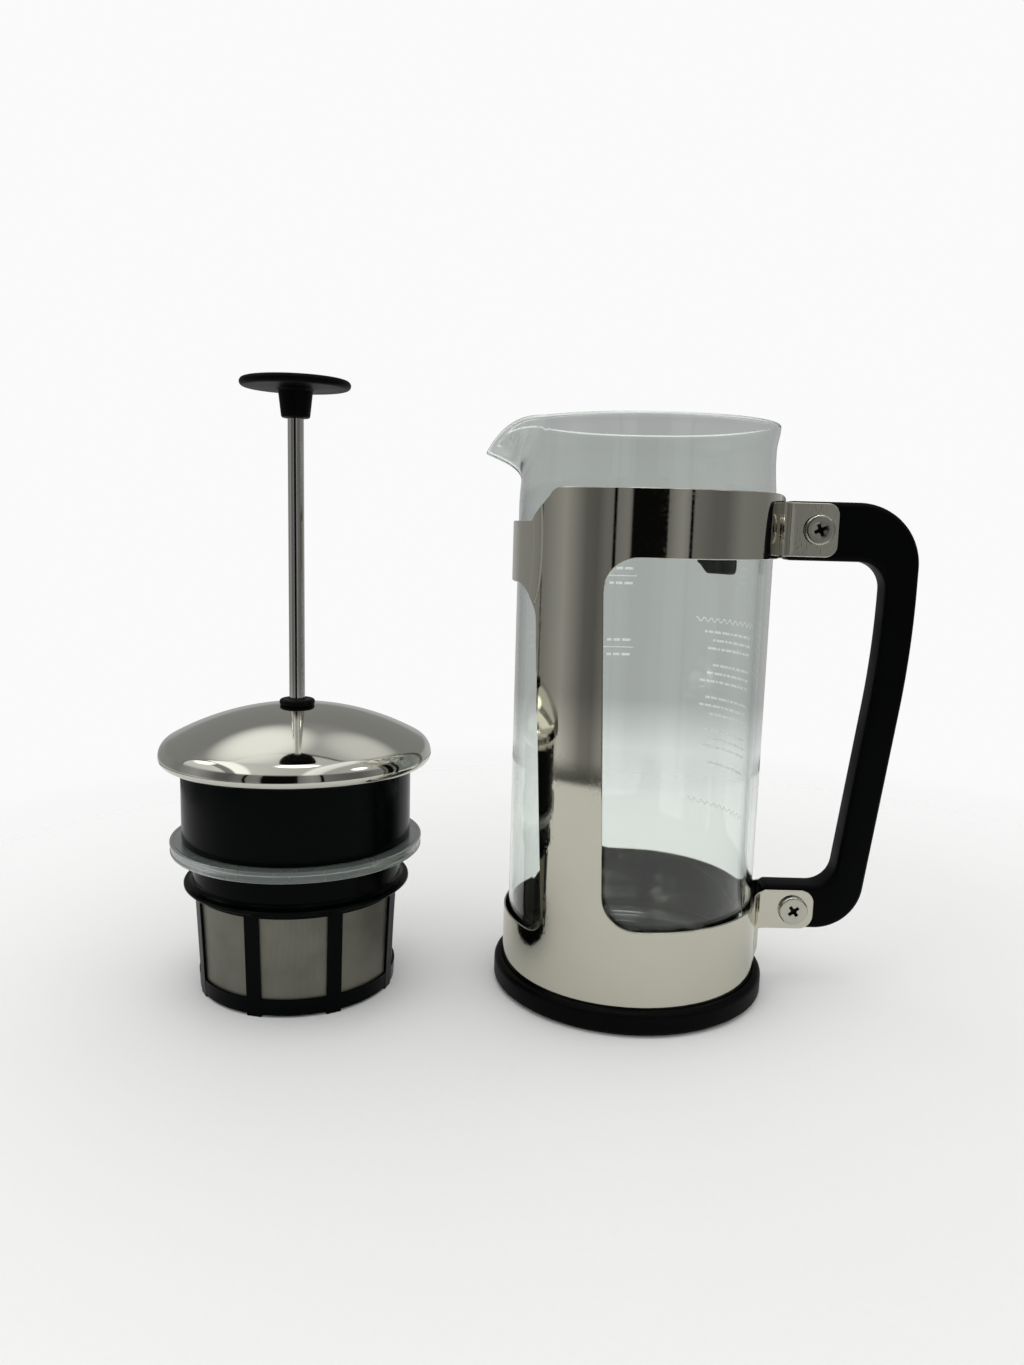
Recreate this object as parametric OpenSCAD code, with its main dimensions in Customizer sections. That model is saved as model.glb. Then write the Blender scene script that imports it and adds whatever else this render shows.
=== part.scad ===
// Double-filter french press: a glass beaker in a mirror-steel frame with a bolted handle,
// and its plunger (knob, rod, domed lid, lip seal and two nested mesh baskets) standing beside it.
// Millimetres, +Z up. The origin is the centre of the beaker's base on the table,
// +X points to the handle and -X to the spout.

/* [Beaker] */
// Outer radius of the glass
glass_r = 48.8; // [48.4:0.1:49.2]
// Wall thickness of the glass
glass_wall = 2.3; // [1.8:0.1:3]
// Height of the rim above the table
rim_z = 222; // [215:0.5:226]
// Reach of the spout's tip from the beaker's axis
spout_reach = 61.4; // [58:0.1:63]
// How far the spout's lip drops below the rim
spout_drop = 11.4; // [9:0.1:14]
// Half the angle of rim that the spout takes up
spout_half_angle = 31; // [26:1:36]

/* [Frame] */
// Outer radius of the steel bands
frame_r = 50.8; // [50.6:0.1:51]
// Thickness of the steel sheet
sheet_t = 0.9; // [0.7:0.1:1]
// Top of the lower band under the side windows
low_band_top = 38.9; // [36:0.1:42]
// Bottom of the window under the spout
spout_window_z = 30.5; // [26:0.5:34]
// Bottom edge of the upper band
up_band_z = 172.7; // [168:0.1:176]
// Top edge of the upper band
frame_top = 196.5; // [194:0.5:199]
// Bottom and top edges of the lowered plate below the spout
spout_plate = [161.5, 184.3];
// Inside radius of the bends where the bands turn out into the ears
bend_r = 6; // [5:0.5:7]

/* [Handle] */
// Thickness of the handle between the ears
handle_t = 12; // [11:0.5:13]
// Outermost reach of the grip from the beaker's axis
grip_x = 105.4; // [100:0.5:110]
// Width of the grip, seen from the side
grip_w = 12.4; // [11:0.1:14]
// Heights of the lower and upper screws
screw_z = [32.5, 183.8];
// Distance of the screws from the beaker's axis
screw_x = 65.4; // [64:0.1:67]
// Radius of the screw heads
screw_head_r = 5.8; // [5:0.1:6.5]

/* [Base] */
// Largest radius of the base
base_r = 54.1; // [53.5:0.1:56]
// Height of the base's lip round the steel
base_lip_z = 9.6; // [9:0.1:11]

/* [Plunger] */
// Where the plunger stands on the table
plunger_at = [-133.3, -7.5];
// Radius of the rod
rod_r = 3; // [2.8:0.1:3.2]
// Radius of the knob
knob_r = 20.5; // [18:0.5:24]
// Top of the knob above the table
knob_top = 234.4; // [230:0.2:240]
// Bottom of the knob's hub
hub_z = 220; // [216:0.5:222]

/* [Filter] */
// Radius of the flange round the outer basket
flange_r = 43.8; // [43:0.1:45]
// Height of the flange's top
flange_z = 43; // [41:0.5:45]
// Radius of the basket below the flange
basket_top_r = 39.3; // [38.8:0.1:39.5]
// Radius of the basket at its lower ring
basket_low_r = 37.3; // [37:0.1:38]
// Number of ribs round each basket
rib_count = 8; // [6:1:8]
// Outer radius of the lip seal
seal_r = 48.7; // [48:0.1:49]
// Top face of the lip seal
seal_top = 59.8; // [59:0.1:60]

/* [Lid] */
// Radius of the lid at its rim
lid_r = 52.2; // [51.5:0.1:54]
// Height of the widest part of the rim
lid_rim_z = 92.8; // [91:0.1:94]
// Radius of the dome's curvature
dome_curve_r = 100; // [92:1:104]
// Outer radius of the black skirt below the dome
skirt_r = 44.2; // [44:0.1:44.6]
// Outer radius of the rubber grommet on top
grommet_r = 6.8; // [6:0.1:8]

/* [Lock] */
// Angle of the glass lock from the handle, round the beaker
lock_angle = 44; // [38:1:50]
// Width of the lock as an angle round the beaker
lock_span = 22; // [16:1:24]
// How far the lock turns round the band to let the glass go
lock_travel = 10; // [6:1:12]

/* [Hidden] */
$fn = 96;

steel = "silver";
black = [0.06, 0.06, 0.07];
rubber = [0.1, 0.1, 0.1];
mesh_grey = [0.5, 0.48, 0.44];

// Frame: the bend's centre lies outside the band, so that its outer face runs on from the
// band's outer face and ends along the ear's outer face.
ear_y = handle_t / 2 + sheet_t;
bend_y = ear_y + bend_r;
bend_x = sqrt(pow(frame_r + bend_r, 2) - pow(bend_y, 2));
bend_az = atan2(bend_y, bend_x);
frame_z0 = 3.2;
up_ear = [173.5, 193.9];
low_ear = [24.6, 40.6];
up_ear_x = 73;
low_ear_x = 73.8;
spout_step = 24.3;

// Handle: the arms' edges, and where the grip starts to slope in.
handle_x0 = 53.5;
up_arm = [172, 194.5];
low_arm = [24.4, 42.2];
grip_bend_z = 138;
grip_slope = 0.1216;

// Fasteners
screw_shank_r = 2;
sleeve_r = 2.9;
head_t = 1.9;

// Beaker
glass_z = 6.2;
glass_floor = 3.6;
glass_in_r = glass_r - glass_wall;

// Lid
shoulder_r = 7;
curl_r = 3;
lid_t = 0.7;
shoulder_at = lid_r - shoulder_r;
shoulder_tilt = asin(shoulder_at / (dome_curve_r - shoulder_r));
dome_z0 = lid_rim_z - (dome_curve_r - shoulder_r) * cos(shoulder_tilt);
dome_top = dome_z0 + dome_curve_r;
hem_z = lid_rim_z - curl_r;
hem_r = 46.6;
bush_r = 4.6;
skirt_t = 1.8;
skirt_z = seal_top + 0.2;

// Glass lock
lock_pin_z = 178;
lock_pin_r = 1.5;
lock_z0 = 164.4;
lock_out_r = frame_r + 2.8;

// Filter
rib_phase = -103.5;
mesh_t = 0.35;
rib_t = 0.9;
floor_t = 1.4;
collar_r = 40.5;
collar_in_r = 38.9;
inner_r = 38.5;
plate_z = seal_top + 0.2;
plate_t = 1.5;
plate_r = 41.8;
collar_top = seal_top - 1.6;
collar_z0 = flange_z - 4;
nut_z = 50.2;
nut_h = 4.8;
inner_floor_z = 9;
bayonet_z = 47;
bayonet_h = 3;
twist = 25;

// ---------- helpers ----------

function unit(v) = v / norm(v);

// Points of an arc about c, from angle a0 to a1.
function arc(c, r, a0, a1, n = 12) = [for (i = [0:n]) let (a = a0 + (a1 - a0) * i / n) c + r * [cos(a), sin(a)]];

// The arc that rounds corner b of a path a-b-c with radius r.
function corner(a, b, c, r, n) = r == 0 ? [b] : let (
    u = unit(a - b),
    w = unit(c - b),
    half = acos(u * w) / 2,
    m = b + unit(u + w) * r / sin(half),
    p = b + u * r / tan(half) - m,
    q = b + w * r / tan(half) - m,
    a0 = atan2(p.y, p.x),
    turn = atan2(p.x * q.y - p.y * q.x, p * q)
) arc(m, r, a0, a0 + turn, n);

// A closed outline whose corner i is rounded with radius radii[i].
function rounded(pts, radii, n = 10) = let (k = len(pts)) [
    for (i = [0:k - 1]) each corner(pts[(i + k - 1) % k], pts[i], pts[(i + 1) % k], radii[i], n)
];

// Extrudes an XZ outline along Y, centred on the XZ plane.
module along_y(depth) {
    rotate([90, 0, 0]) linear_extrude(depth, center = true) children();
}

module at_plunger() {
    translate([plunger_at.x, plunger_at.y, 0]) children();
}

module tube(r, r_in, z0, z1) {
    translate([0, 0, z0]) difference() {
        cylinder(r = r, h = z1 - z0);
        translate([0, 0, -1]) cylinder(r = r_in, h = z1 - z0 + 2);
    }
}

// ---------- holder ----------

// Plan of the sheet: a ring that bends out into two parallel ears.
module frame_plan() {
    open = 2 * frame_r * [cos(bend_az), sin(bend_az)];
    difference() {
        circle(r = frame_r);
        circle(r = frame_r - sheet_t);
        polygon([[0, 0], [open.x, -open.y], [open.x, open.y]]);
    }
    for (side = [0, 1]) mirror([0, side, 0]) {
        translate([bend_x, -bend_y]) intersection() {
            difference() {
                circle(r = bend_r + sheet_t);
                circle(r = bend_r);
            }
            polygon([[0, 0], for (a = [90, 135 - bend_az / 2, 180 - bend_az]) 20 * [cos(a), sin(a)]]);
        }
        translate([bend_x, -ear_y]) square([low_ear_x - bend_x, sheet_t]);
    }
}

// Side view of the sheet, with the windows beside the struts left open towards the handle.
module frame_side() {
    difference() {
        union() {
            translate([-frame_r - 1, frame_z0]) square([frame_r + 53, frame_top - frame_z0]);
            polygon(rounded(
                [[45, up_ear[0]], [up_ear_x, up_ear[0]], [up_ear_x, up_ear[1]], [45, up_ear[1]]],
                [0, 4.5, 4.5, 0]));
            polygon(rounded(
                [[45, low_ear[0]], [low_ear_x, low_ear[0]], [low_ear_x, low_ear[1]], [45, low_ear[1]]],
                [0, 5.5, 5, 0]));
        }
        // side windows, from the leaning struts to the ears
        polygon(rounded(
            [[-19.6, up_band_z], [-15.2, low_band_top], [48.6, low_band_top], [54.6, low_ear[1]],
             [54.6, up_ear[0]], [51, up_band_z]],
            [12, 13, 0, 2, 0, 0]));
        // corner of the upper band above the ears
        polygon([each arc([50, frame_top - 2], 2, 90, 0, 6), [52, up_ear[1]], [60, up_ear[1]], [60, 200], [50, 200]]);
        // diagonal end of the lower band below the ears
        polygon(rounded([[48.6, 0], [48.6, 8], [54.9, low_ear[0]], [90, low_ear[0]], [90, 0]], [0, 6, 3, 0, 0]));
    }
}

// Outline of the window below the spout, across Y.
module spout_window() {
    polygon(rounded(
        [[-35.2, spout_window_z], [35.2, spout_window_z], [28.2, spout_plate[0]], [-28.2, spout_plate[0]]],
        [6, 6, 15, 15]));
}

// What is cut away above the lowered plate below the spout, across Y.
module spout_notch() {
    w = spout_step;
    rise = frame_top - spout_plate[1];
    polygon([
        [-w, spout_plate[1]], [w, spout_plate[1]],
        each arc([w + 13.6, frame_top - 5], 5, 156, 90, 6),
        [w + 13.6, frame_top + 3], [-w - 13.6, frame_top + 3],
        each arc([-w - 13.6, frame_top - 5], 5, 90, 24, 6)
    ]);
}

module holder_frame() {
    color(steel) difference() {
        intersection() {
            translate([0, 0, frame_z0]) linear_extrude(frame_top - frame_z0) frame_plan();
            along_y(3 * frame_r) frame_side();
        }
        rotate([90, 0, -90]) linear_extrude(2 * frame_r) {
            spout_window();
            spout_notch();
        }
        for (z = screw_z) translate([screw_x, 0, z]) rotate([90, 0, 0]) {
            cylinder(r = screw_shank_r + 0.1, h = 20);
            translate([0, 0, -20]) cylinder(r = sleeve_r + 0.1, h = 20);
        }
        lock_slot();
    }
}

// The slot through the upper band that the glass lock slides along.
module lock_slot() {
    slot_h = 2 * lock_pin_r + 0.6;
    end_play = 2.2;
    rotate([0, 0, lock_angle - lock_travel - end_play]) rotate_extrude(angle = lock_travel + 2 * end_play)
        translate([frame_r - 5, lock_pin_z - slot_h / 2]) square([10, slot_h]);
}

module base_cap() {
    color(black) rotate_extrude() polygon([
        [0, 0],
        each arc([base_r - 3.2, 3.2], 3.2, -90, 0, 6),
        each arc([base_r - 1.6, base_lip_z - 1.6], 1.6, 0, 90, 5),
        [frame_r + 0.1, base_lip_z],
        [frame_r + 0.1, frame_z0],
        [0, frame_z0]
    ]);
}

module glass_seat() {
    color(rubber) rotate_extrude() polygon([
        [0, frame_z0], [47, frame_z0], each arc([46, glass_z - 1], 1, 0, 90, 4),
        [30, glass_z], [29, glass_z - 0.8], [0, glass_z - 0.8]
    ]);
}

module handle_outline() {
    drop_out = grip_slope * (grip_bend_z - low_arm[0]);
    drop_in = grip_slope * (grip_bend_z - low_arm[1]);
    grip_in = grip_x - grip_w;
    polygon(rounded([
        [handle_x0, up_arm[1]],
        [grip_x, up_arm[1]],
        [grip_x, grip_bend_z],
        [grip_x - drop_out, low_arm[0]],
        [handle_x0, low_arm[0]],
        [handle_x0, low_arm[1]],
        [grip_in - drop_in, low_arm[1]],
        [grip_in, grip_bend_z],
        [grip_in, up_arm[0]],
        [handle_x0, up_arm[0]]
    ], [1, 24.4, 400, 19, 1, 1, 10, 387, 10.5, 1], 14));
}

module handle() {
    color(black) difference() {
        along_y(handle_t) handle_outline();
        for (z = screw_z) translate([screw_x, 0, z]) rotate([90, 0, 0])
            cylinder(r = sleeve_r + 0.1, h = 2 * handle_t, center = true);
    }
}

// A low cylinder head with a chamfered edge, standing on z = 0.
module screw_head() {
    cylinder(r = screw_head_r, h = head_t - 0.5);
    translate([0, 0, head_t - 0.5]) cylinder(r1 = screw_head_r, r2 = screw_head_r - 0.5, h = 0.5);
}

module cross_recess() {
    for (a = [20, 110]) rotate([0, 0, a]) translate([-2.4, -0.6, head_t - 1.3]) cube([4.8, 1.2, 2]);
}

module handle_screws() {
    color(steel) for (z = screw_z) translate([screw_x, -ear_y, z]) rotate([90, 0, 0]) difference() {
        union() {
            screw_head();
            translate([0, 0, -8]) cylinder(r = screw_shank_r, h = 8.1);
        }
        cross_recess();
    }
}

module sleeve_nuts() {
    color(steel) for (z = screw_z) translate([screw_x, ear_y, z]) rotate([-90, 0, 0]) difference() {
        union() {
            screw_head();
            translate([0, 0, -ear_y - handle_t / 2 + 0.2]) cylinder(r = sleeve_r, h = ear_y + handle_t / 2);
        }
        translate([0, 0, -20]) cylinder(r = screw_shank_r + 0.05, h = 16);
        cross_recess();
    }
}

// ---------- glass lock ----------

// A ring segment centred on the lock's angle.
module lock_segment(r0, r1, z0, z1, span) {
    rotate([0, 0, lock_angle - span / 2]) rotate_extrude(angle = span)
        translate([r0, z0]) square([r1 - r0, z1 - z0]);
}

// The slider: a plate outside the band and a finger tab under it, tied by the pin in the slot.
module glass_lock() {
    in_r = glass_r + 0.4;
    under_z = up_band_z - 1.5;
    tab_h = 4;
    step = 0.25;
    color(black) difference() {
        union() {
            lock_segment(frame_r + 0.3, lock_out_r, under_z - 1, lock_pin_z + 5, lock_span - 5);
            lock_segment(in_r, lock_out_r - step, lock_z0 + tab_h / 2, under_z, lock_span);
            lock_segment(in_r + step, lock_out_r + 2, lock_z0, lock_z0 + tab_h, lock_span - 8);
        }
        rotate([0, 0, lock_angle]) translate([0, 0, lock_pin_z]) rotate([0, 90, 0])
            cylinder(r = lock_pin_r, h = 2 * frame_r);
    }
}

// Steel rivet through the slot, with a thin curved head between the band and the glass.
module lock_keeper() {
    head_r = frame_r - sheet_t - 0.3;
    color(steel) {
        lock_segment(head_r - 0.4, head_r, lock_pin_z - 3, lock_pin_z + 3, 7);
        rotate([0, 0, lock_angle]) translate([head_r - 0.2, 0, lock_pin_z]) rotate([0, 90, 0])
            cylinder(r = lock_pin_r, h = lock_out_r + 0.4 - head_r);
    }
}

// ---------- beaker ----------

module spout_body(wall, tip_inset, tip_r, z_low, z_top) {
    tip = [-spout_reach + tip_inset, 0, rim_z - spout_drop - 1.4];
    hull() {
        for (a = [-1, -0.5, 0, 0.5, 1] * spout_half_angle) rotate([0, 0, a])
            translate([-(glass_r - wall), 0, z_top]) sphere(r = 1, $fn = 20);
        translate(tip) sphere(r = tip_r, $fn = 24);
        for (a = [-7, 7]) rotate([0, 0, a]) translate([-(glass_r - wall), 0, z_low]) sphere(r = 1, $fn = 20);
    }
}

module beaker() {
    lip = [-glass_r * cos(spout_half_angle), -spout_reach];
    color("lightcyan", 0.35) difference() {
        union() {
            rotate_extrude() polygon([
                [0, glass_z],
                each arc([glass_r - 7, glass_z + 7], 7, -90, 0, 8),
                each arc([glass_r - glass_wall / 2, rim_z - glass_wall / 2], glass_wall / 2, 0, 90, 4),
                [glass_in_r, rim_z],
                [0, rim_z]
            ]);
            spout_body(1, 1.4, 1.4, 200, rim_z - 1);
        }
        translate([0, 0, glass_z + glass_floor]) rotate_extrude() polygon([
            [0, 0], each arc([glass_in_r - 5, 5], 5, -90, 0, 8), [glass_in_r, rim_z], [0, rim_z]
        ]);
        translate([0, 0, 0.8]) spout_body(3.4, 4, 1.1, 204, rim_z + 3);
        along_y(3 * glass_r) polygon([
            [lip[0], rim_z], [lip[1] - 0.1, rim_z - spout_drop], [-80, rim_z - spout_drop - 8], [-80, rim_z + 20],
            [lip[0], rim_z + 20]
        ]);
    }
}

// ---------- plunger ----------

module knob() {
    disc_t = 3.6;
    color(black) at_plunger() difference() {
        rotate_extrude() polygon([
            [0, hub_z],
            each arc([5.2 - 0.8, hub_z + 0.8], 0.8, -90, 0, 4),
            [6.4, knob_top - disc_t - 1],
            each arc([7.6, knob_top - disc_t - 1.2], 1.2, 180, 90, 4),
            each arc([knob_r - 1.6, knob_top - disc_t + 1.6], 1.6, -90, 0, 5),
            each arc([knob_r - 1.6, knob_top - 1.8], 1.6, 0, 80, 5),
            [0, knob_top]
        ]);
        translate([0, 0, hub_z - 1]) cylinder(r = 4.2, h = 10);
    }
}

module knob_insert() {
    color("goldenrod") at_plunger() tube(4.2, rod_r, hub_z + 0.5, hub_z + 8.5);
}

module rod() {
    color(steel) at_plunger() {
        translate([0, 0, 48]) cylinder(r = rod_r - 0.3, h = 1);
        translate([0, 0, 49]) cylinder(r = rod_r, h = hub_z + 8 - 49);
    }
}

module rod_nut() {
    color(steel) at_plunger() translate([0, 0, nut_z]) difference() {
        cylinder(r = 5.8, h = nut_h, $fn = 6);
        translate([0, 0, -1]) cylinder(r = rod_r, h = nut_h + 2);
    }
}

// Ribs on the outside of a tapered wall that is r_low wide at z_low and r_top at z_top.
module ribs(r_top, r_low, z_top, z_low, width) {
    for (i = [0:rib_count - 1]) rotate([0, 0, rib_phase + 360 / rib_count * i])
        rotate([90, 0, 0]) linear_extrude(width, center = true)
            polygon([[r_low, z_low], [r_low + rib_t, z_low], [r_top + rib_t, z_top], [r_top, z_top]]);
}

// A tapered ring that is r0 wide outside at z0 and r1 at z1.
module cone_ring(r0, r1, z0, z1, t) {
    rotate_extrude() polygon([[r0 - t, z0], [r0, z0], [r1, z1], [r1 - t, z1]]);
}

// Outer faces of the two meshes at a given height.
function basket_r(z) = basket_low_r + (basket_top_r - basket_low_r) * z / flange_z;
function inner_basket_r(z) = 32 + 2.6 * (z - inner_floor_z) / (plate_z - inner_floor_z);

// Floor of a basket: a hub and a rim joined by one spoke to each rib.
module floor_spider(r, z, t) {
    translate([0, 0, z]) cylinder(r = 6, h = t);
    for (i = [0:rib_count - 1]) rotate([0, 0, rib_phase + 360 / rib_count * i])
        translate([0, -1.2, z]) cube([r - 1, 2.4, t]);
    tube(r, r - 3, z, z + t);
}

module inner_frame() {
    z = inner_floor_z;
    color(black) at_plunger() difference() {
        union() {
            // top plate, and the sleeve that turns inside the outer basket's collar
            translate([0, 0, plate_z]) cylinder(r = plate_r, h = plate_t);
            tube(inner_r, 36, bayonet_z - 1, plate_z + 0.5);
            for (i = [0:2]) rotate([0, 0, 120 * i - 6]) rotate_extrude(angle = 12)
                translate([inner_r - 0.2, bayonet_z + 0.3]) square([1.2, bayonet_h - 0.6]);
            // boss for the rod
            translate([0, 0, nut_z + nut_h]) cylinder(r = 8, h = plate_z + 6 - nut_z - nut_h);
            ribs(inner_basket_r(plate_z + 0.3), inner_basket_r(z), plate_z + 0.3, z, 4);
            cone_ring(inner_basket_r(z) + rib_t, inner_basket_r(z + 4) + rib_t, z, z + 4, rib_t);
            tube(36.4, inner_basket_r(bayonet_z) + 0.4, bayonet_z - 1, bayonet_z + 1);
            floor_spider(inner_basket_r(z) + 0.1, z, floor_t);
        }
        translate([0, 0, 40]) cylinder(r = rod_r, h = 40);
        // flow ports between the boss and the rim of the top plate
        for (i = [0:rib_count - 1]) rotate([0, 0, rib_phase + 360 / rib_count * (i + 0.5)])
            translate([21.5, 0, plate_z - 1]) cylinder(r = 6.4, h = plate_t + 2);
    }
}

module inner_mesh() {
    z0 = inner_floor_z + floor_t + 0.1;
    z1 = plate_z - 0.1;
    gap = 0.05;
    color(mesh_grey) at_plunger() cone_ring(inner_basket_r(z0) - gap, inner_basket_r(z1) - gap, z0, z1, mesh_t);
}

module inner_floor_mesh() {
    color(mesh_grey) at_plunger() translate([0, 0, inner_floor_z + floor_t])
        cylinder(r = inner_basket_r(inner_floor_z) - 1, h = mesh_t);
}

// Sector cut into the collar's bore, of the given depth.
module bayonet_sector(a0, span, z0, z1, depth) {
    rotate([0, 0, a0]) rotate_extrude(angle = span)
        translate([collar_in_r - depth, z0]) square([2 * depth, z1 - z0]);
}

module outer_frame() {
    r_bottom = basket_r(collar_z0);
    color(black) at_plunger() difference() {
        union() {
            // collar with the flange round its foot
            rotate_extrude() polygon([
                [collar_in_r, collar_z0],
                [r_bottom + rib_t, collar_z0],
                [basket_r(flange_z) + 1.2, flange_z - 1.8],
                [flange_r - 0.5, flange_z - 1.6],
                [flange_r, flange_z - 1.1],
                [flange_r, flange_z - 0.5],
                [flange_r - 0.4, flange_z],
                each arc([collar_r + 2, flange_z + 2], 2, 270, 180, 5),
                [collar_r, collar_top],
                [collar_in_r, collar_top]
            ]);
            ribs(basket_r(flange_z - 2), basket_r(0), flange_z - 2, 0, 5.6);
            cone_ring(basket_r(1) + rib_t, basket_r(7) + rib_t, 1, 7, rib_t);
            floor_spider(basket_r(1) + 0.1, 1, floor_t);
        }
        // bayonet slots with their entries from above
        for (i = [0:2]) {
            bayonet_sector(120 * i - 8, 17 + twist, bayonet_z, bayonet_z + bayonet_h, 0.9);
            bayonet_sector(120 * i - 8 + twist, 16, bayonet_z + 1, collar_top + 1, 1);
        }
    }
}

module outer_mesh() {
    z0 = 1 + floor_t + 0.1;
    z1 = collar_z0 - 0.1;
    gap = 0.05;
    color(mesh_grey) at_plunger() cone_ring(basket_r(z0) - gap, basket_r(z1) - gap, z0, z1, mesh_t);
}

module outer_floor_mesh() {
    color(mesh_grey) at_plunger() translate([0, 0, 1 + floor_t]) cylinder(r = basket_r(1) - 1, h = mesh_t);
}

module lip_seal() {
    web_z = collar_top;
    color([0.85, 0.88, 0.86], 0.8) at_plunger() rotate_extrude() polygon([
        [collar_in_r + 1, web_z],
        [collar_in_r + 1, seal_top],
        [seal_r - 0.9, seal_top],
        [seal_r - 0.3, seal_top - 0.5],
        [seal_r, seal_top - 3],
        [seal_r - 0.2, seal_top - 4.4],
        [seal_r - 1, seal_top - 4.2],
        [seal_r - 1.5, web_z - 0.3],
        [collar_r + 2, web_z],
        [collar_r + 1.6, web_z - 2],
        [collar_r, web_z - 2],
        [collar_r, web_z]
    ]);
}

// ---------- lid ----------

// Section of the dome's sheet, inset by the given depth: crown, shoulder and rolled edge.
function dome_line(inset) = [
    each arc([0, dome_z0], dome_curve_r - inset, 90 - asin(bush_r / dome_curve_r), 90 - shoulder_tilt, 14),
    each arc([shoulder_at, lid_rim_z], shoulder_r - inset, 90 - shoulder_tilt - 6, 0, 8),
    each arc([lid_r - curl_r, lid_rim_z], curl_r - inset, -10, -90, 6),
    [hem_r, hem_z + inset]
];

module lid_dome() {
    outside = dome_line(0);
    inside = dome_line(lid_t);
    color(steel) at_plunger() rotate_extrude()
        polygon([each outside, for (i = [len(inside) - 1:-1:0]) inside[i]]);
}

module lid_skirt() {
    top = hem_z + lid_t;
    color(black) at_plunger() {
        tube(skirt_r, skirt_r - skirt_t, skirt_z, top);
        tube(lid_r - curl_r, 6.2, top, top + 1.6);
        tube(9, 6.2, top - 8, top + 0.1);
    }
}

module lid_bush() {
    color(black) at_plunger() {
        tube(6, rod_r + 0.05, hem_z - 6, hem_z + 12);
        tube(bush_r - 0.08, rod_r + 0.05, hem_z + 12, dome_top - 0.2);
    }
}

module lid_grommet() {
    z = dome_top - 0.1;
    color(rubber) at_plunger() rotate_extrude() polygon([
        [rod_r + 0.05, z], [grommet_r - 0.3, z],
        each arc([grommet_r - 1.2, z + 1.1], 1.2, -30, 90, 8),
        [rod_r + 0.8, z + 2.2], [rod_r + 0.05, z + 1.8]
    ]);
}

holder_frame();
base_cap();
glass_seat();
handle();
handle_screws();
sleeve_nuts();
glass_lock();
lock_keeper();
beaker();
knob();
knob_insert();
rod();
rod_nut();
inner_frame();
inner_mesh();
inner_floor_mesh();
outer_frame();
outer_mesh();
outer_floor_mesh();
lip_seal();
lid_grommet();
lid_bush();
lid_dome();
lid_skirt();
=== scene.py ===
"""The looks of a double-filter french press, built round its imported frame.

The beaker stands in its steel holder at the origin, and the plunger stands beside it on the table.
Meshes are made in metres. Shape helpers take millimetres, which suit the object's details.
"""
import math

import bmesh
import bpy
import numpy as np
from mathutils import Matrix, Vector
from mathutils.geometry import delaunay_2d_cdt


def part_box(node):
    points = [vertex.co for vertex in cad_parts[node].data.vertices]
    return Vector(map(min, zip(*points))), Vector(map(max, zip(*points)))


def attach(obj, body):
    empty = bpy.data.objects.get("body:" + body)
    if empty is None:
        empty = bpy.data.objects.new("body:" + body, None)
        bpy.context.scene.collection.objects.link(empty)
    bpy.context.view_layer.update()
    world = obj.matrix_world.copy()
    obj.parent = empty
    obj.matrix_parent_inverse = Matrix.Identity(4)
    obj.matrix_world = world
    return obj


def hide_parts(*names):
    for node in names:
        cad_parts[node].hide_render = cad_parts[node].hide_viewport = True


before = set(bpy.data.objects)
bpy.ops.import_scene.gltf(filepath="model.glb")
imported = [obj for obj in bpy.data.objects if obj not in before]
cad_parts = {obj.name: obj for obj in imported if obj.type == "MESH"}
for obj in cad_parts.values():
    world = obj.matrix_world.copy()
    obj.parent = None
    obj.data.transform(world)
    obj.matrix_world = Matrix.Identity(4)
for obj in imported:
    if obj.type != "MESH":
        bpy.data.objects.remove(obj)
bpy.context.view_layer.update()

MM = 0.001


def box_mm(node):
    """Lowest and highest corner of a CAD node in millimetres."""
    low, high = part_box(node)
    return np.array(low) / MM, np.array(high) / MM


def centre_mm(node):
    """Plan position of a round CAD node's axis in millimetres."""
    low, high = box_mm(node)
    return (low[0] + high[0]) / 2, (low[1] + high[1]) / 2


def round_size(node):
    """Radius, foot and top of a round CAD node in millimetres."""
    low, high = box_mm(node)
    return (high[0] - low[0]) / 2, low[2], high[2]


BEAKER_AXIS = (0.0, 0.0)
PLUNGER_AXIS = centre_mm("lid_dome")
SHEET_T = 0.9  # thickness of the holder's sheet
RIBS, RIB_PHASE = 8, math.radians(-103.5)  # ribs round a filter basket, and the azimuth of the first
WIRE_PITCH = 0.42  # spacing of the filter cloth's wires as they are drawn


# ---------- outlines ----------

def arc(cx, cy, r, a0, a1, n=12):
    """Points of an arc about (cx, cy) from angle a0 to a1, in degrees."""
    angles = np.radians(np.linspace(a0, a1, n + 1))
    return [(cx + r * math.cos(a), cy + r * math.sin(a)) for a in angles]


def rounded(corners, closed=True, n=8):
    """An outline through corners (x, y, radius), each rounded with its radius."""
    points = []
    count = len(corners)
    for i, (x, y, r) in enumerate(corners):
        at_end = not closed and i in (0, count - 1)
        if r == 0 or at_end:
            points.append((x, y))
            continue
        b = np.array((x, y), float)
        u = np.array(corners[i - 1][:2]) - b
        w = np.array(corners[(i + 1) % count][:2]) - b
        u, w = u / np.linalg.norm(u), w / np.linalg.norm(w)
        half = math.acos(max(-1.0, min(1.0, float(u @ w)))) / 2
        middle = b + (u + w) / np.linalg.norm(u + w) * r / math.sin(half)
        p, q = b + u * r / math.tan(half) - middle, b + w * r / math.tan(half) - middle
        start = math.degrees(math.atan2(p[1], p[0]))
        turn = math.degrees(math.atan2(p[0] * q[1] - p[1] * q[0], float(p @ q)))
        points += arc(middle[0], middle[1], r, start, start + turn, n)
    return points


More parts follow.
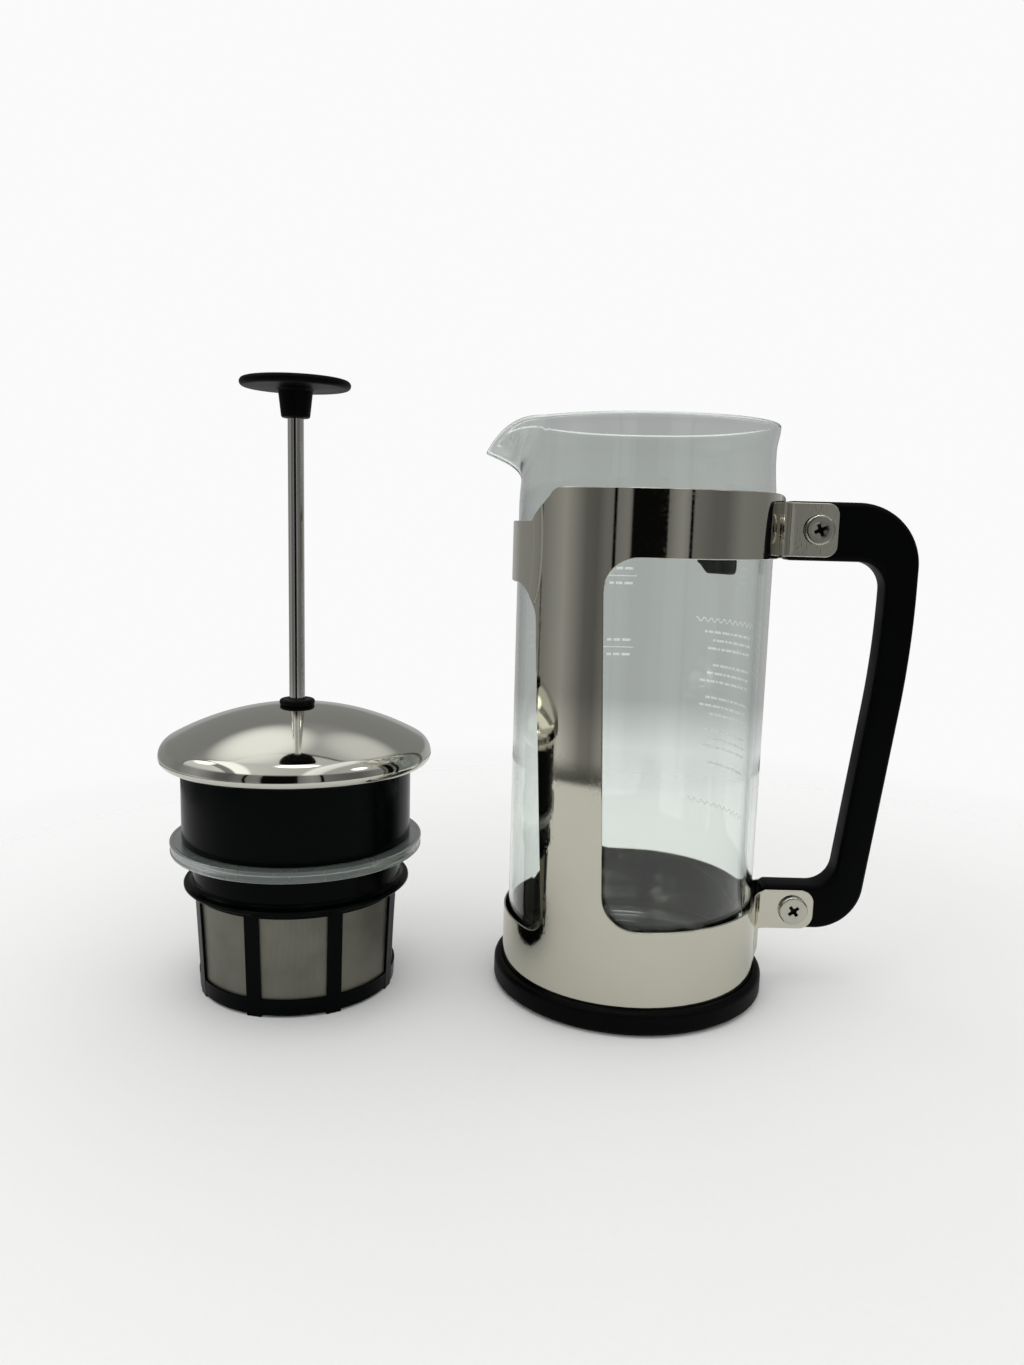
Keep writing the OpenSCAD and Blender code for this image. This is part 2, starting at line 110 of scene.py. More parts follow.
def outward_normals(loop):
    """Right-hand normals at the points of a closed loop that has its region on the left."""
    p = np.array(loop, float)
    along_in = p - np.roll(p, 1, axis=0)
    along_out = np.roll(p, -1, axis=0) - p
    n_in = np.stack([along_in[:, 1], -along_in[:, 0]], 1)
    n_out = np.stack([along_out[:, 1], -along_out[:, 0]], 1)
    n_in /= np.linalg.norm(n_in, axis=1)[:, None] + 1e-12
    n_out /= np.linalg.norm(n_out, axis=1)[:, None] + 1e-12
    total = n_in + n_out
    total /= np.linalg.norm(total, axis=1)[:, None] + 1e-12
    cosine = np.clip((total * n_out).sum(1), 0.5, 1)
    return total, 1 / cosine


def signed_area(loop):
    """Area of a closed loop, negative where it runs clockwise."""
    p = np.array(loop, float)
    q = np.roll(p, -1, axis=0)
    return 0.5 * float((p[:, 0] * q[:, 1] - q[:, 0] * p[:, 1]).sum())


def resample(loop, step):
    """The closed loop with an even spacing: close points merged, and long edges split."""
    kept = [loop[0]]
    for point in loop[1:]:
        if math.dist(point, kept[-1]) > step / 4 and math.dist(point, kept[0]) > step / 4:
            kept.append(point)
    points = []
    for a, b in zip(kept, np.roll(np.array(kept), -1, axis=0)):
        parts = max(1, math.ceil(math.dist(a, b) / step))
        points += [tuple(np.array(a) + (np.array(b) - a) * k / parts) for k in range(parts)]
    return points


def inside(points, loops):
    """Which points lie inside the region that the loops bound, by the even-odd rule."""
    odd = np.zeros(len(points), bool)
    x, y = points[:, 0], points[:, 1]
    for loop in loops:
        p = np.array(loop, float)
        for (x0, y0), (x1, y1) in zip(p, np.roll(p, -1, axis=0)):
            crosses = (y0 > y) != (y1 > y)
            if crosses.any():
                odd ^= crosses & (x < (x1 - x0) * (y - y0) / (y1 - y0 + 1e-15) + x0)
    return odd


# ---------- pieces ----------

def ring_faces(rings, count, outward=True):
    """Quads between successive closed rings of count points each."""
    faces = []
    for k in range(rings - 1):
        for i in range(count):
            j = (i + 1) % count
            low, high = k * count, (k + 1) * count
            if outward:
                faces.append([low + i, low + j, high + j, high + i])
            else:
                faces.append([low + j, low + i, high + i, high + j])
    return faces


def piece(name, points, faces, body, material, stands_for=(), crease=40, normals=None,
          painted_light=None):
    """A smooth-shaded mesh of points in millimetres that rides on a body.

    The optional attribute holds a value from 0 to 1 for each point, where its material paints shade or a
    highlight.
    """
    mesh = bpy.data.meshes.new(name)
    mesh.from_pydata([tuple(float(c) * MM for c in p) for p in points], [], faces)
    mesh.validate()
    mesh.polygons.foreach_set("use_smooth", np.ones(len(mesh.polygons), bool))
    if normals is None:
        mesh.set_sharp_from_angle(angle=math.radians(crease))
    else:
        mesh.normals_split_custom_set_from_vertices([tuple(n) for n in normals])
    if painted_light is not None:
        mesh.attributes.new("painted_light", "FLOAT", "POINT").data.foreach_set("value", painted_light)
    mesh.materials.append(material)
    obj = bpy.data.objects.new(name, mesh)
    bpy.context.scene.collection.objects.link(obj)
    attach(obj, body)
    if stands_for:
        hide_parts(*stands_for)
    return obj


def spin(name, outline, axis, body, material, stands_for=(), closed=True, segments=180,
         crease=40):
    """A piece turned from an outline of (radius, height) points about an upright axis."""
    points, rings = [], []
    angles = np.linspace(0, 2 * math.pi, segments, endpoint=False)
    for r, z in outline:
        if r < 1e-6:
            rings.append([len(points)])
            points.append((axis[0], axis[1], z))
        else:
            rings.append(list(range(len(points), len(points) + segments)))
            points += [(axis[0] + r * math.cos(a), axis[1] + r * math.sin(a), z) for a in angles]
    faces = []
    pairs = list(zip(rings, rings[1:]))
    if closed:
        pairs.append((rings[-1], rings[0]))
    for low, high in pairs:
        for i in range(segments):
            j = (i + 1) % segments
            quad = [low[i % len(low)], low[j % len(low)], high[j % len(high)], high[i % len(high)]]
            face = list(dict.fromkeys(quad))
            if len(face) > 2:
                faces.append(face)
    return piece(name, points, faces, body, material, stands_for, crease)


def plate(name, loop, y0, y1, edge_r, body, material, stands_for=(), steps=5):
    """A plate cut from an XZ outline, from y0 to y1, with its edges rounded."""
    if signed_area(loop) < 0:
        loop = loop[::-1]
    normal, stretch = outward_normals(loop)
    p = np.array(loop, float)
    count = len(p)
    rows = []
    for y, sign in ((y0, 1), (y1, -1)):
        part = []
        for k in range(steps + 1):
            a = math.pi / 2 * k / steps
            inset, depth = edge_r * (1 - math.sin(a)), edge_r * (1 - math.cos(a))
            q = p - normal * (inset * stretch)[:, None]
            part.append([(x, y + sign * depth, z) for x, z in q])
        rows += part if sign == 1 else part[::-1]
    points = [v for row in rows for v in row]
    faces = ring_faces(len(rows), count)
    faces.append(list(range(count))[::-1])
    faces.append([(len(rows) - 1) * count + i for i in range(count)])
    return piece(name, points, faces, body, material, stands_for)


# ---------- material helpers ----------

def set_sockets(tree, made, **sockets):
    """Sets or links a node's inputs. Base_Color is the socket Base Color, and _0 is the first one."""
    for key, value in sockets.items():
        socket = made.inputs[int(key[1:])] if key[0] == "_" else made.inputs[key.replace("_", " ")]
        if isinstance(value, bpy.types.NodeSocket):
            tree.links.new(value, socket)
        else:
            socket.default_value = value


def node(tree, kind, settings=None, **sockets):
    """A shader node with its settings and inputs."""
    made = tree.nodes.new("ShaderNode" + kind)
    for key, value in (settings or {}).items():
        setattr(made, key, value)
    set_sockets(tree, made, **sockets)
    return made


def calc(tree, operation, a, b=0.0):
    """The result of a math node."""
    return node(tree, "Math", {"operation": operation}, _0=a, _1=b).outputs[0]


def blend(tree, factor, a, b):
    """The colour at factor on the way from a to b. Each is a socket or (red, green, blue)."""
    a, b = ((*colour, 1) if isinstance(colour, tuple) else colour for colour in (a, b))
    return node(tree, "Mix", {"data_type": "RGBA"}, _0=factor, _6=a, _7=b).outputs[2]


def remap(tree, value, low, high, to_low, to_high, ease="LINEAR"):
    """The value moved from the range low to high into the range to_low to to_high, and kept inside it."""
    made = node(tree, "MapRange", {"interpolation_type": ease}, Value=value, From_Min=low, From_Max=high,
                To_Min=to_low, To_Max=to_high)
    return made.outputs[0]


def ramp(tree, value, stops):
    """A colour ramp over (position, grey or colour) stops."""
    made = node(tree, "ValToRGB", None, Fac=value)
    elements = made.color_ramp.elements
    elements.remove(elements[1])
    for i, (position, shade) in enumerate(stops):
        colour = (*shade, 1) if isinstance(shade, tuple) else (shade, shade, shade, 1)
        element = elements[0] if i == 0 else elements.new(position)
        element.position = position
        element.color = colour
    return made.outputs[0]


def new_material(name):
    """A material, its node tree and its shader."""
    made = bpy.data.materials.new(name)
    made.use_nodes = True
    tree = made.node_tree
    return made, tree, tree.nodes["Principled BSDF"]


def noise(tree, where, scale, detail=3.0, roughness=0.5):
    made = node(tree, "TexNoise", None, Vector=where, Scale=scale, Detail=detail, Roughness=roughness)
    return made.outputs[0]


def position(tree, stretch=(1, 1, 1), turn=(0, 0, 0)):
    """Object position in metres, scaled and turned."""
    where = node(tree, "TexCoord").outputs["Object"]
    made = node(tree, "Mapping", None, Vector=where, Scale=stretch, Rotation=turn)
    return made.outputs[0]


def axis_radius(tree, where):
    """Distance of the shaded point from the upright axis through the origin of where."""
    x, y, _ = node(tree, "SeparateXYZ", None, Vector=where).outputs
    return calc(tree, "SQRT", calc(tree, "ADD", calc(tree, "POWER", x, 2.0), calc(tree, "POWER", y, 2.0)))


def painted_light_here(tree):
    """The value of the mesh's attribute that marks painted shade or a painted highlight."""
    return node(tree, "Attribute", {"attribute_name": "painted_light"}).outputs["Fac"]


def bump(tree, height, distance_mm, strength=1.0, under=None):
    """A normal tilted by a height of up to distance_mm, over the bump under it."""
    made = node(tree, "Bump", None, Height=height, Distance=distance_mm * MM, Strength=strength)
    if under is not None:
        tree.links.new(under, made.inputs["Normal"])
    return made.outputs[0]


# ---------- materials ----------

def make_mirror_steel():
    """Polished sheet: waves from rolling, small dents and short scratches from polishing, and a haze."""
    made, tree, shader = new_material("mirror_steel")
    where = position(tree)
    mottle = noise(tree, where, 900, 2)
    patches = noise(tree, where, 70, 3)
    haze = calc(tree, "MULTIPLY", remap(tree, mottle, 0.45, 0.75, 0, 1), remap(tree, patches, 0.4, 0.7, 0, 1))
    scratches = noise(tree, position(tree, (1500, 1500, 420), (0.45, 0.3, 0)), 1.0, 1)
    scratch = remap(tree, scratches, 0.66, 0.74, 0, 1)
    haze = calc(tree, "ADD", haze, calc(tree, "MULTIPLY", scratch, 0.2))
    tone = blend(tree, patches, (0.59, 0.574, 0.485), (0.63, 0.613, 0.52))
    waves = bump(tree, noise(tree, position(tree, (1, 1, 0.6)), 24, 1), 0.12)
    dented = remap(tree, noise(tree, where, 38, 2), 0.5, 0.62, 0, 1)
    x, _, z = node(tree, "SeparateXYZ", None, Vector=where).outputs
    # the front of the upper band is smoother than its handle end and the struts
    struck = calc(tree, "MAXIMUM", remap(tree, z, 0.150, 0.160, 1, 0), remap(tree, x, 0.018, 0.026, 0, 1))
    streaks = remap(tree, scratches, 0.5, 0.7, 0, 1)
    dents = calc(tree, "MULTIPLY", streaks, calc(tree, "MULTIPLY", dented, struck))
    grain = bump(tree, dents, 0.0085, 1.0, waves)
    fine = bump(tree, mottle, 0.0015, 1.0, grain)
    set_sockets(tree, shader, Base_Color=tone, Metallic=1.0, Normal=fine,
                Roughness=remap(tree, haze, 0, 1, 0.04, 0.17))
    return made


def make_lid_steel():
    """Spun and polished lid: smoother than the holder's sheet, with very fine turning rings."""
    made, tree, shader = new_material("lid_steel")
    x, y = PLUNGER_AXIS
    where = node(tree, "Mapping", None, Vector=node(tree, "TexCoord").outputs["Object"],
                 Location=(-x * MM, -y * MM, 0)).outputs[0]
    rings = noise(tree, node(tree, "CombineXYZ", None, X=axis_radius(tree, where)).outputs[0], 2600, 2)
    patches = noise(tree, where, 40, 3)
    tone = blend(tree, patches, (0.62, 0.615, 0.55), (0.66, 0.655, 0.585))
    waves = bump(tree, noise(tree, where, 20, 1), 0.03, 1.0)
    fine = bump(tree, rings, 0.00025, 1.0, waves)
    set_sockets(tree, shader, Base_Color=tone, Metallic=1.0, Normal=fine,
                Roughness=remap(tree, patches, 0.3, 0.7, 0.035, 0.075))
    return made


def make_satin_steel():
    """Turned fasteners with a fine grain, their recesses darkened with painted shade."""
    made, tree, shader = new_material("satin_steel")
    grain = noise(tree, position(tree, (5000, 900, 900), (0, 0.3, 0)), 1.0, 2)
    patches = noise(tree, position(tree), 300, 2)
    tone = blend(tree, grain, (0.50, 0.49, 0.42), (0.58, 0.57, 0.495))
    # painted shade: where the attribute is set, in a screw's recess, the steel turns near black
    tone = blend(tree, painted_light_here(tree), tone, (0.012, 0.011, 0.010))
    set_sockets(tree, shader, Base_Color=tone, Metallic=1.0, Normal=bump(tree, grain, 0.0012),
                Roughness=remap(tree, patches, 0.3, 0.7, 0.16, 0.26))
    return made


def make_rod_steel():
    """Drawn and polished rod with a grain along its length."""
    made, tree, shader = new_material("rod_steel")
    grain = noise(tree, position(tree, (5000, 5000, 40)), 1.0, 2)
    tone = blend(tree, grain, (0.60, 0.59, 0.56), (0.68, 0.67, 0.64))
    set_sockets(tree, shader, Base_Color=tone, Metallic=1.0, Normal=bump(tree, grain, 0.0015),
                Roughness=remap(tree, grain, 0.3, 0.7, 0.07, 0.14))
    return made


def make_plastic(name, dark, light, roughness, grain_scale, grain_mm, specular):
    """Black moulded plastic or rubber with a fine surface grain and slight wear of its gloss."""
    made, tree, shader = new_material(name)
    where = position(tree)
    grain = noise(tree, where, grain_scale, 2)
    patches = noise(tree, where, 60, 3)
    set_sockets(tree, shader, Base_Color=blend(tree, patches, dark, light),
                Roughness=remap(tree, patches, 0.3, 0.7, roughness - 0.05, roughness + 0.06),
                Normal=bump(tree, grain, grain_mm), IOR=1.46, Specular_IOR_Level=specular)
    return made


def make_seat_rubber():
    """The pad under the beaker: black, wet-looking, and wavy where it was moulded."""
    made, tree, shader = new_material("seat_rubber")
    runs = noise(tree, position(tree, (1.0, 2.4, 1.0), (0, 0, 0.5)), 42, 2)
    patches = noise(tree, position(tree), 60, 3)
    tone = blend(tree, patches, (0.004, 0.0045, 0.004), (0.014, 0.015, 0.013))
    set_sockets(tree, shader, Base_Color=tone, Roughness=remap(tree, patches, 0.35, 0.65, 0.08, 0.25),
                Normal=bump(tree, runs, 1.1), IOR=1.5)
    return made


def make_glass():
    """Clear borosilicate with the slight waviness of blown tube, and a rim made rougher and partly diffuse
    white as a painted highlight.
    """
    made, tree, shader = new_material("clear_glass")
    waves = noise(tree, position(tree, (1, 1, 0.12)), 42, 1)
    clouds = noise(tree, position(tree), 15, 1)
    tint = blend(tree, clouds, (0.93, 0.965, 0.945), (0.95, 0.98, 0.96))
    rim = painted_light_here(tree)
    # painted highlight: the marked rim lets less light through and scatters its pale tint, so it looks lit
    set_sockets(tree, shader, Base_Color=tint, Roughness=remap(tree, rim, 0, 1, 0, 0.22),
                Transmission_Weight=remap(tree, rim, 0, 1, 1, 0.55), Normal=bump(tree, waves, 0.028),
                IOR=1.47, Specular_IOR_Level=0.36)
    return made


def make_silicone():
    """Milky translucent seal."""
    made, tree, shader = new_material("silicone")
    where = position(tree)
    cloud = noise(tree, where, 90, 3)
    tone = blend(tree, cloud, (0.125, 0.147, 0.138), (0.165, 0.187, 0.176))
    set_sockets(tree, shader, Base_Color=tone, Roughness=remap(tree, cloud, 0.3, 0.7, 0.2, 0.3),
                Normal=bump(tree, noise(tree, where, 1500, 2), 0.004), Transmission_Weight=0.3, IOR=1.41)
    return made


def make_mesh_cloth():
    """Fine woven steel cloth: crossing wires raised over holes painted dark as painted shade, with patches of
    stain.
    """
    made, tree, shader = new_material("fine_mesh")
    weave = node(tree, "SeparateXYZ", None, Vector=node(tree, "UVMap").outputs[0])
    across = calc(tree, "ABSOLUTE", calc(tree, "SINE", calc(tree, "MULTIPLY", weave.outputs[0], math.pi)))
    along = calc(tree, "ABSOLUTE", calc(tree, "SINE", calc(tree, "MULTIPLY", weave.outputs[1], math.pi)))
    wires = calc(tree, "MAXIMUM", across, along)
    cover = remap(tree, wires, 0.35, 0.85, 0, 1)
    patches = noise(tree, position(tree), 48, 4)
    bright = ramp(tree, patches, [
        (0.3, (0.15, 0.145, 0.12)), (0.5, (0.205, 0.2, 0.165)), (0.7, (0.25, 0.245, 0.20))])
    # painted shade: the holes between the wires are dark, standing in for the shade inside the basket seen
    # through them
    tone = blend(tree, cover, (0.05, 0.048, 0.04), bright)
    slack = bump(tree, noise(tree, position(tree), 160, 2), 0.12)
    set_sockets(tree, shader, Base_Color=tone, Metallic=0.8, Normal=bump(tree, wires, 0.03, 0.6, slack),
                Roughness=remap(tree, patches, 0.3, 0.7, 0.34, 0.48))
    return made


def make_brass():
    """Turned brass, grooved finely across its axis."""
    made, tree, shader = new_material("brass")
    grain = noise(tree, position(tree, (300, 300, 6000)), 1.0, 2)
    tone = blend(tree, grain, (0.50, 0.36, 0.15), (0.66, 0.50, 0.24))
    set_sockets(tree, shader, Base_Color=tone, Metallic=1.0, Normal=bump(tree, grain, 0.003),
                Roughness=remap(tree, grain, 0.3, 0.7, 0.2, 0.35))
    return made


def make_ink():
    """White screen print, slightly uneven, and thin enough to be lit from behind as well."""
    made, tree, shader = new_material("white_print")
    grain = noise(tree, position(tree), 2500, 2)
    tone = blend(tree, grain, (0.88, 0.90, 0.89), (0.97, 0.98, 0.97))
    set_sockets(tree, shader, Base_Color=tone, Roughness=remap(tree, grain, 0.3, 0.7, 0.5, 0.65),
                Normal=bump(tree, grain, 0.002))
    through = node(tree, "BsdfTranslucent", None, Color=tone)
    mixed = node(tree, "MixShader", None, _0=0.6, _1=shader.outputs[0], _2=through.outputs[0])
    tree.links.new(mixed.outputs[0], tree.nodes["Material Output"].inputs["Surface"])
    return made


mirror_steel = make_mirror_steel()
lid_steel = make_lid_steel()
satin_steel = make_satin_steel()
rod_steel = make_rod_steel()
# Black plastics and rubber: darkest and lightest tone, roughness, scale and depth of grain, specular level.
BLACKS = {
    "base_plastic": ((0.0009, 0.001, 0.0012), (0.0018, 0.002, 0.0022), 0.42, 2600, 0.006, 0.055),
    "handle_plastic": ((0.0006, 0.0008, 0.0011), (0.0013, 0.0015, 0.002), 0.44, 2200, 0.008, 0.055),
    "knob_plastic": ((0.0008, 0.001, 0.0011), (0.0016, 0.0018, 0.002), 0.46, 2200, 0.008, 0.06),
    "gloss_plastic": ((0.0003, 0.0008, 0.0009), (0.0008, 0.0014, 0.0016), 0.2, 1400, 0.003, 0.055),
    "black_rubber": ((0.0012, 0.0012, 0.0012), (0.0026, 0.0026, 0.0025), 0.48, 3000, 0.006, 0.09),
}
base_plastic, handle_plastic, knob_plastic, gloss_plastic, rubber = (
    make_plastic(name, *look) for name, look in BLACKS.items())
seat_rubber = make_seat_rubber()
glass = make_glass()
silicone = make_silicone()
mesh_cloth = make_mesh_cloth()
brass = make_brass()
ink = make_ink()


# ---------- holder ----------

class SheetPlan:
    """The plan of the holder's sheet, unrolled: s runs along its outer face from the spout's side.

    The sheet is a ring that bends out into two parallel ears. s is positive on the -Y side.
    """

    def __init__(self, ring_r, bend_r, ear_y):
        self.r, self.b, self.e = ring_r, bend_r, ear_y
        self.cy = ear_y + bend_r
        self.cx = math.sqrt((ring_r + bend_r) ** 2 - self.cy ** 2)
        self.az = math.atan2(self.cy, self.cx)
        self.s_ring = ring_r * (math.pi - self.az)
        self.s_bend = self.s_ring + bend_r * (math.pi / 2 - self.az)

    def at(self, s):
        """Points of the outer face at s, and the outward normals there."""
        side = np.where(s >= 0, 1.0, -1.0)
        s = np.abs(s)
        theta = math.pi + np.minimum(s, self.s_ring) / self.r
        phi = math.pi - self.az - np.clip(s - self.s_ring, 0, self.s_bend - self.s_ring) / self.b
        x, y = self.r * np.cos(theta), self.r * np.sin(theta)
        nx, ny = np.cos(theta), np.sin(theta)
        bent = s > self.s_ring
        x = np.where(bent, self.cx + self.b * np.cos(phi), x)
        y = np.where(bent, -self.cy + self.b * np.sin(phi), y)
        nx, ny = np.where(bent, -np.cos(phi), nx), np.where(bent, -np.sin(phi), ny)
        x = x + np.maximum(s - self.s_bend, 0)
        return np.stack([x, y * side], 1), np.stack([nx, ny * side], 1)

    def unroll(self, x, y):
        """s of a point on the outer face, and its distance from that face."""
        side = 1.0 if y <= 0 else -1.0
        y = -abs(y)
        theta = math.atan2(y, x) % (2 * math.pi)
        ring = (self.r * (theta - math.pi), abs(math.hypot(x, y) - self.r))
        if theta > 2 * math.pi - self.az:
            ring = (0, 1e9)
        phi = math.atan2(y + self.cy, x - self.cx)
        bend = (0, 1e9)
        if math.pi / 2 <= phi <= math.pi - self.az:
            off = abs(math.hypot(x - self.cx, y + self.cy) - self.b)
            bend = (self.s_ring + self.b * (math.pi - self.az - phi), off)
        ear = (self.s_bend + x - self.cx, abs(y + self.e) if x > self.cx else 1e9)
        s, off = min(ring, bend, ear, key=lambda pair: pair[1])
        return side * s, off


def sheet_outlines(node_name, plan):
    """Loops that bound a CAD sheet's outer face, unrolled to (s, z)."""
    cad = bmesh.new()
    cad.from_mesh(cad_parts[node_name].data)
    bmesh.ops.remove_doubles(cad, verts=cad.verts, dist=1e-6)
    cad.faces.index_update()
    outer = {face for face in cad.faces
             if all(plan.unroll(v.co.x / MM, v.co.y / MM)[1] < SHEET_T / 4 for v in face.verts)}
    following = {}
    for face in sorted(outer, key=lambda f: f.index):
        for loop in face.loops:
            if not any(other in outer for other in loop.edge.link_faces if other is not face):
                following.setdefault(loop.vert, []).append(loop.link_loop_next.vert)
    loops = []
    while following:
        vert = next(iter(following))
        loop = []
        while vert in following:
            loop.append((plan.unroll(vert.co.x / MM, vert.co.y / MM)[0], vert.co.z / MM))
            after = following[vert].pop()
            if not following[vert]:
                del following[vert]
            vert = after
        if abs(signed_area(loop)) > 1:
            loops.append(loop)
    cad.free()
    loops.sort(key=lambda points: -abs(signed_area(points)))
    return [loops[0] if signed_area(loops[0]) > 0 else loops[0][::-1]] + [
        loop if signed_area(loop) < 0 else loop[::-1] for loop in loops[1:]]


def triangulated(loops, extra):
    """Triangles over the region that loops bound, with extra points inside it.

    Returns the points, the triangles, and the new number of each loop point, counted through the loops.
    """
    edges, first = [], 0
    for loop in loops:
        edges += [(first + i, first + (i + 1) % len(loop)) for i in range(len(loop))]
        first += len(loop)
    flat = np.concatenate([*loops, extra])
    verts, _, tris, origin, _, _ = delaunay_2d_cdt([Vector(p) for p in flat], edges, [], 0, 1e-6)
    flat = np.array(verts)
    middle = np.array([flat[list(t)].mean(0) for t in tris])
    tris = [t for t, keep in zip(tris, inside(middle, loops)) if keep]
    used = sorted({v for t in tris for v in t})
    renumber = {v: i for i, v in enumerate(used)}
    flat = flat[used]
    tris = [[renumber[v] for v in t] for t in tris]
    tris = [t if signed_area(flat[t]) > 0 else t[::-1] for t in tris]
    index_of = {o: renumber[v] for v in used for o in origin[v]}
    return flat, tris, index_of


def smooth(x):
    """Smooth step from 0 to 1 as x goes from 0 to 1."""
    t = np.clip(x, 0, 1)
    return t * t * (3 - 2 * t)


# The two curved creases on each side of the lowered plate: the distance s from the spout against height.
RIDGE_LINES = (
    lambda z: 28.1 - 0.0067 * (z - 176) ** 2,
    lambda z: 33.1 - 3.2 * (abs(z - 176) / 21) ** 3,
)


def ridge_height(s, z):
    """How far the pressed rib between the two creases stands out of the sheet."""
    height, width, foot_z = 0.2, 1.1, 151.0
    near, far = RIDGE_LINES
    rise = smooth((np.abs(s) - near(z)) / width + 0.5) * smooth((far(z) - np.abs(s)) / width + 0.5)
    return height * rise * smooth((z - foot_z) / 5)


def build_holder_sheet():
    """The polished sheet at full smoothness, with its edges broken, from the CAD sheet's own outline."""
    low, high = box_mm("holder_frame")
    _, handle_high = box_mm("handle")
    bend_r, edge = 6.0, 0.34
    outline_step, column_step, row_step, clearance, band_rise = 1.2, 1.5, 4.0, 0.6, 145
    plan = SheetPlan(-low[0], bend_r, handle_high[1] + SHEET_T)
    loops = [resample(loop, outline_step) for loop in sheet_outlines("holder_frame", plan)]
    normals2 = [outward_normals(loop) for loop in loops]
    inset = [np.array(loop) - n * (edge * k)[:, None] for loop, (n, k) in zip(loops, normals2)]

    # a grid of points inside the inset outline, joined with it into triangles
    s_end = plan.s_bend + high[0] - plan.cx
    s_values = np.arange(-s_end, s_end, column_step)
    grid = np.array([(s, z) for s in s_values for z in np.arange(low[2], high[2], row_step)])
    border = np.concatenate(inset)
    creases = [(sign * (line(z) + off), z) for line in RIDGE_LINES for sign in (-1, 1)
               for z in np.arange(low[2] + band_rise, high[2], 1.4) for off in (-0.75, -0.4, 0, 0.4, 0.75)]
    grid = np.concatenate([grid, np.array(creases)])
    grid = grid[inside(grid, inset)]
    clear = np.array([np.min(np.abs(border - g).max(1)) > clearance for g in grid])
    flat, tris, index_of = triangulated(inset, grid[clear])

    def at_depth(points, depth):
        """Places at a depth under the outer face, and the outer face's normals there."""
        plan_xy, normal = plan.at(points[:, 0])
        s, z, d = points[:, 0], points[:, 1], 0.05
        xy = plan_xy - normal * (depth - ridge_height(s, z))[:, None]
        slope_s = (ridge_height(s + d, z) - ridge_height(s - d, z)) / (2 * d)
        slope_z = (ridge_height(s, z + d) - ridge_height(s, z - d)) / (2 * d)
        along = np.stack([-normal[:, 1], normal[:, 0]], 1)
        tilted = np.column_stack([normal - along * slope_s[:, None], -slope_z])
        return np.column_stack([xy, z]), tilted / np.linalg.norm(tilted, axis=1)[:, None]

    outer_p, outer_n = at_depth(flat, 0)
    inner_p, inner_n = at_depth(flat, SHEET_T)
    points, normals = [outer_p, inner_p], [outer_n, -inner_n]
    count = len(flat)
    faces = [list(t) for t in tris] + [[count + v for v in t[::-1]] for t in tris]
    base, first = 2 * count, 0
    for loop, (n2, _) in zip(loops, normals2):
        full = np.array(loop)
        number = len(full)
        out = plan.at(full[:, 0])[1]
        along = np.column_stack([-out[:, 1], out[:, 0], np.zeros(number)])
        side = along * n2[:, :1] + np.array([0, 0, 1.0]) * n2[:, 1:]
        for depth in (edge, SHEET_T - edge):
            points.append(at_depth(full, depth)[0])
            normals.append(side)
        rows = [[index_of[first + i] for i in range(number)],
                [base + i for i in range(number)],
                [base + number + i for i in range(number)],
                [count + index_of[first + i] for i in range(number)]]
        for upper, lower in zip(rows, rows[1:]):
            faces += [[upper[i], lower[i], lower[(i + 1) % number], upper[(i + 1) % number]]
                      for i in range(number)]
        base += 2 * number
        first += number
    return piece("holder_sheet", np.concatenate(points), faces, "holder", mirror_steel,
                 ["holder_frame"], normals=np.concatenate(normals))


def build_base():
    """The black base: a chamfered foot, and a rounded lip round the lower band."""
    _, high = box_mm("base_cap")
    frame_low, _ = box_mm("holder_frame")
    r, ring_r, step_z = high[0], -frame_low[0], frame_low[2]
    outline = rounded([(0, 0, 0), (r - 2.2, 0, 0.8), (r - 1.6, 0.9, 0.6), (r, 1.6, 1.0), (r, high[2], 2.2),
                       (ring_r + 0.12, high[2], 0.4), (ring_r + 0.12, step_z, 0.1), (0, step_z, 0)], False)
    spin("base", outline, BEAKER_AXIS, "holder", base_plastic, ["base_cap"], False, 220)


def build_handle():
    """The grip: two arms from the ears and a grip that leans in towards the foot, with soft edges."""
    low, high = box_mm("handle")
    slope, bend_z, grip_w = 0.1216, 138, 12.4
    up_arm, low_arm = 172.0, 42.2
    drop_out, drop_in = slope * (bend_z - low[2]), slope * (bend_z - low_arm)
    grip_in = high[0] - grip_w
    end_r, lean_r = 2.4, 400
    outline = rounded([
        (low[0], high[2], end_r), (high[0], high[2], 24.4), (high[0], bend_z, lean_r),
        (high[0] - drop_out, low[2], 19), (low[0], low[2], end_r), (low[0], low_arm, end_r),
        (grip_in - drop_in, low_arm, 10), (grip_in, bend_z, lean_r - 13), (grip_in, up_arm, 10.5),
        (low[0], up_arm, end_r)], n=28)
    plate("grip", outline, low[1], high[1], 2.1, "holder", handle_plastic, ["handle"])


def cross_outline(arm, half_width):
    """The plan of a driver recess: a cross with rounded inner corners."""
    corners = []
    for k in range(4):
        a = math.radians(90 * k)
        for x, y, r in ((arm, -half_width, 0.25), (arm, half_width, 0.25), (half_width, half_width, 0.5)):
            corners.append((x * math.cos(a) - y * math.sin(a), x * math.sin(a) + y * math.cos(a), r))
    return rounded(corners, n=5)


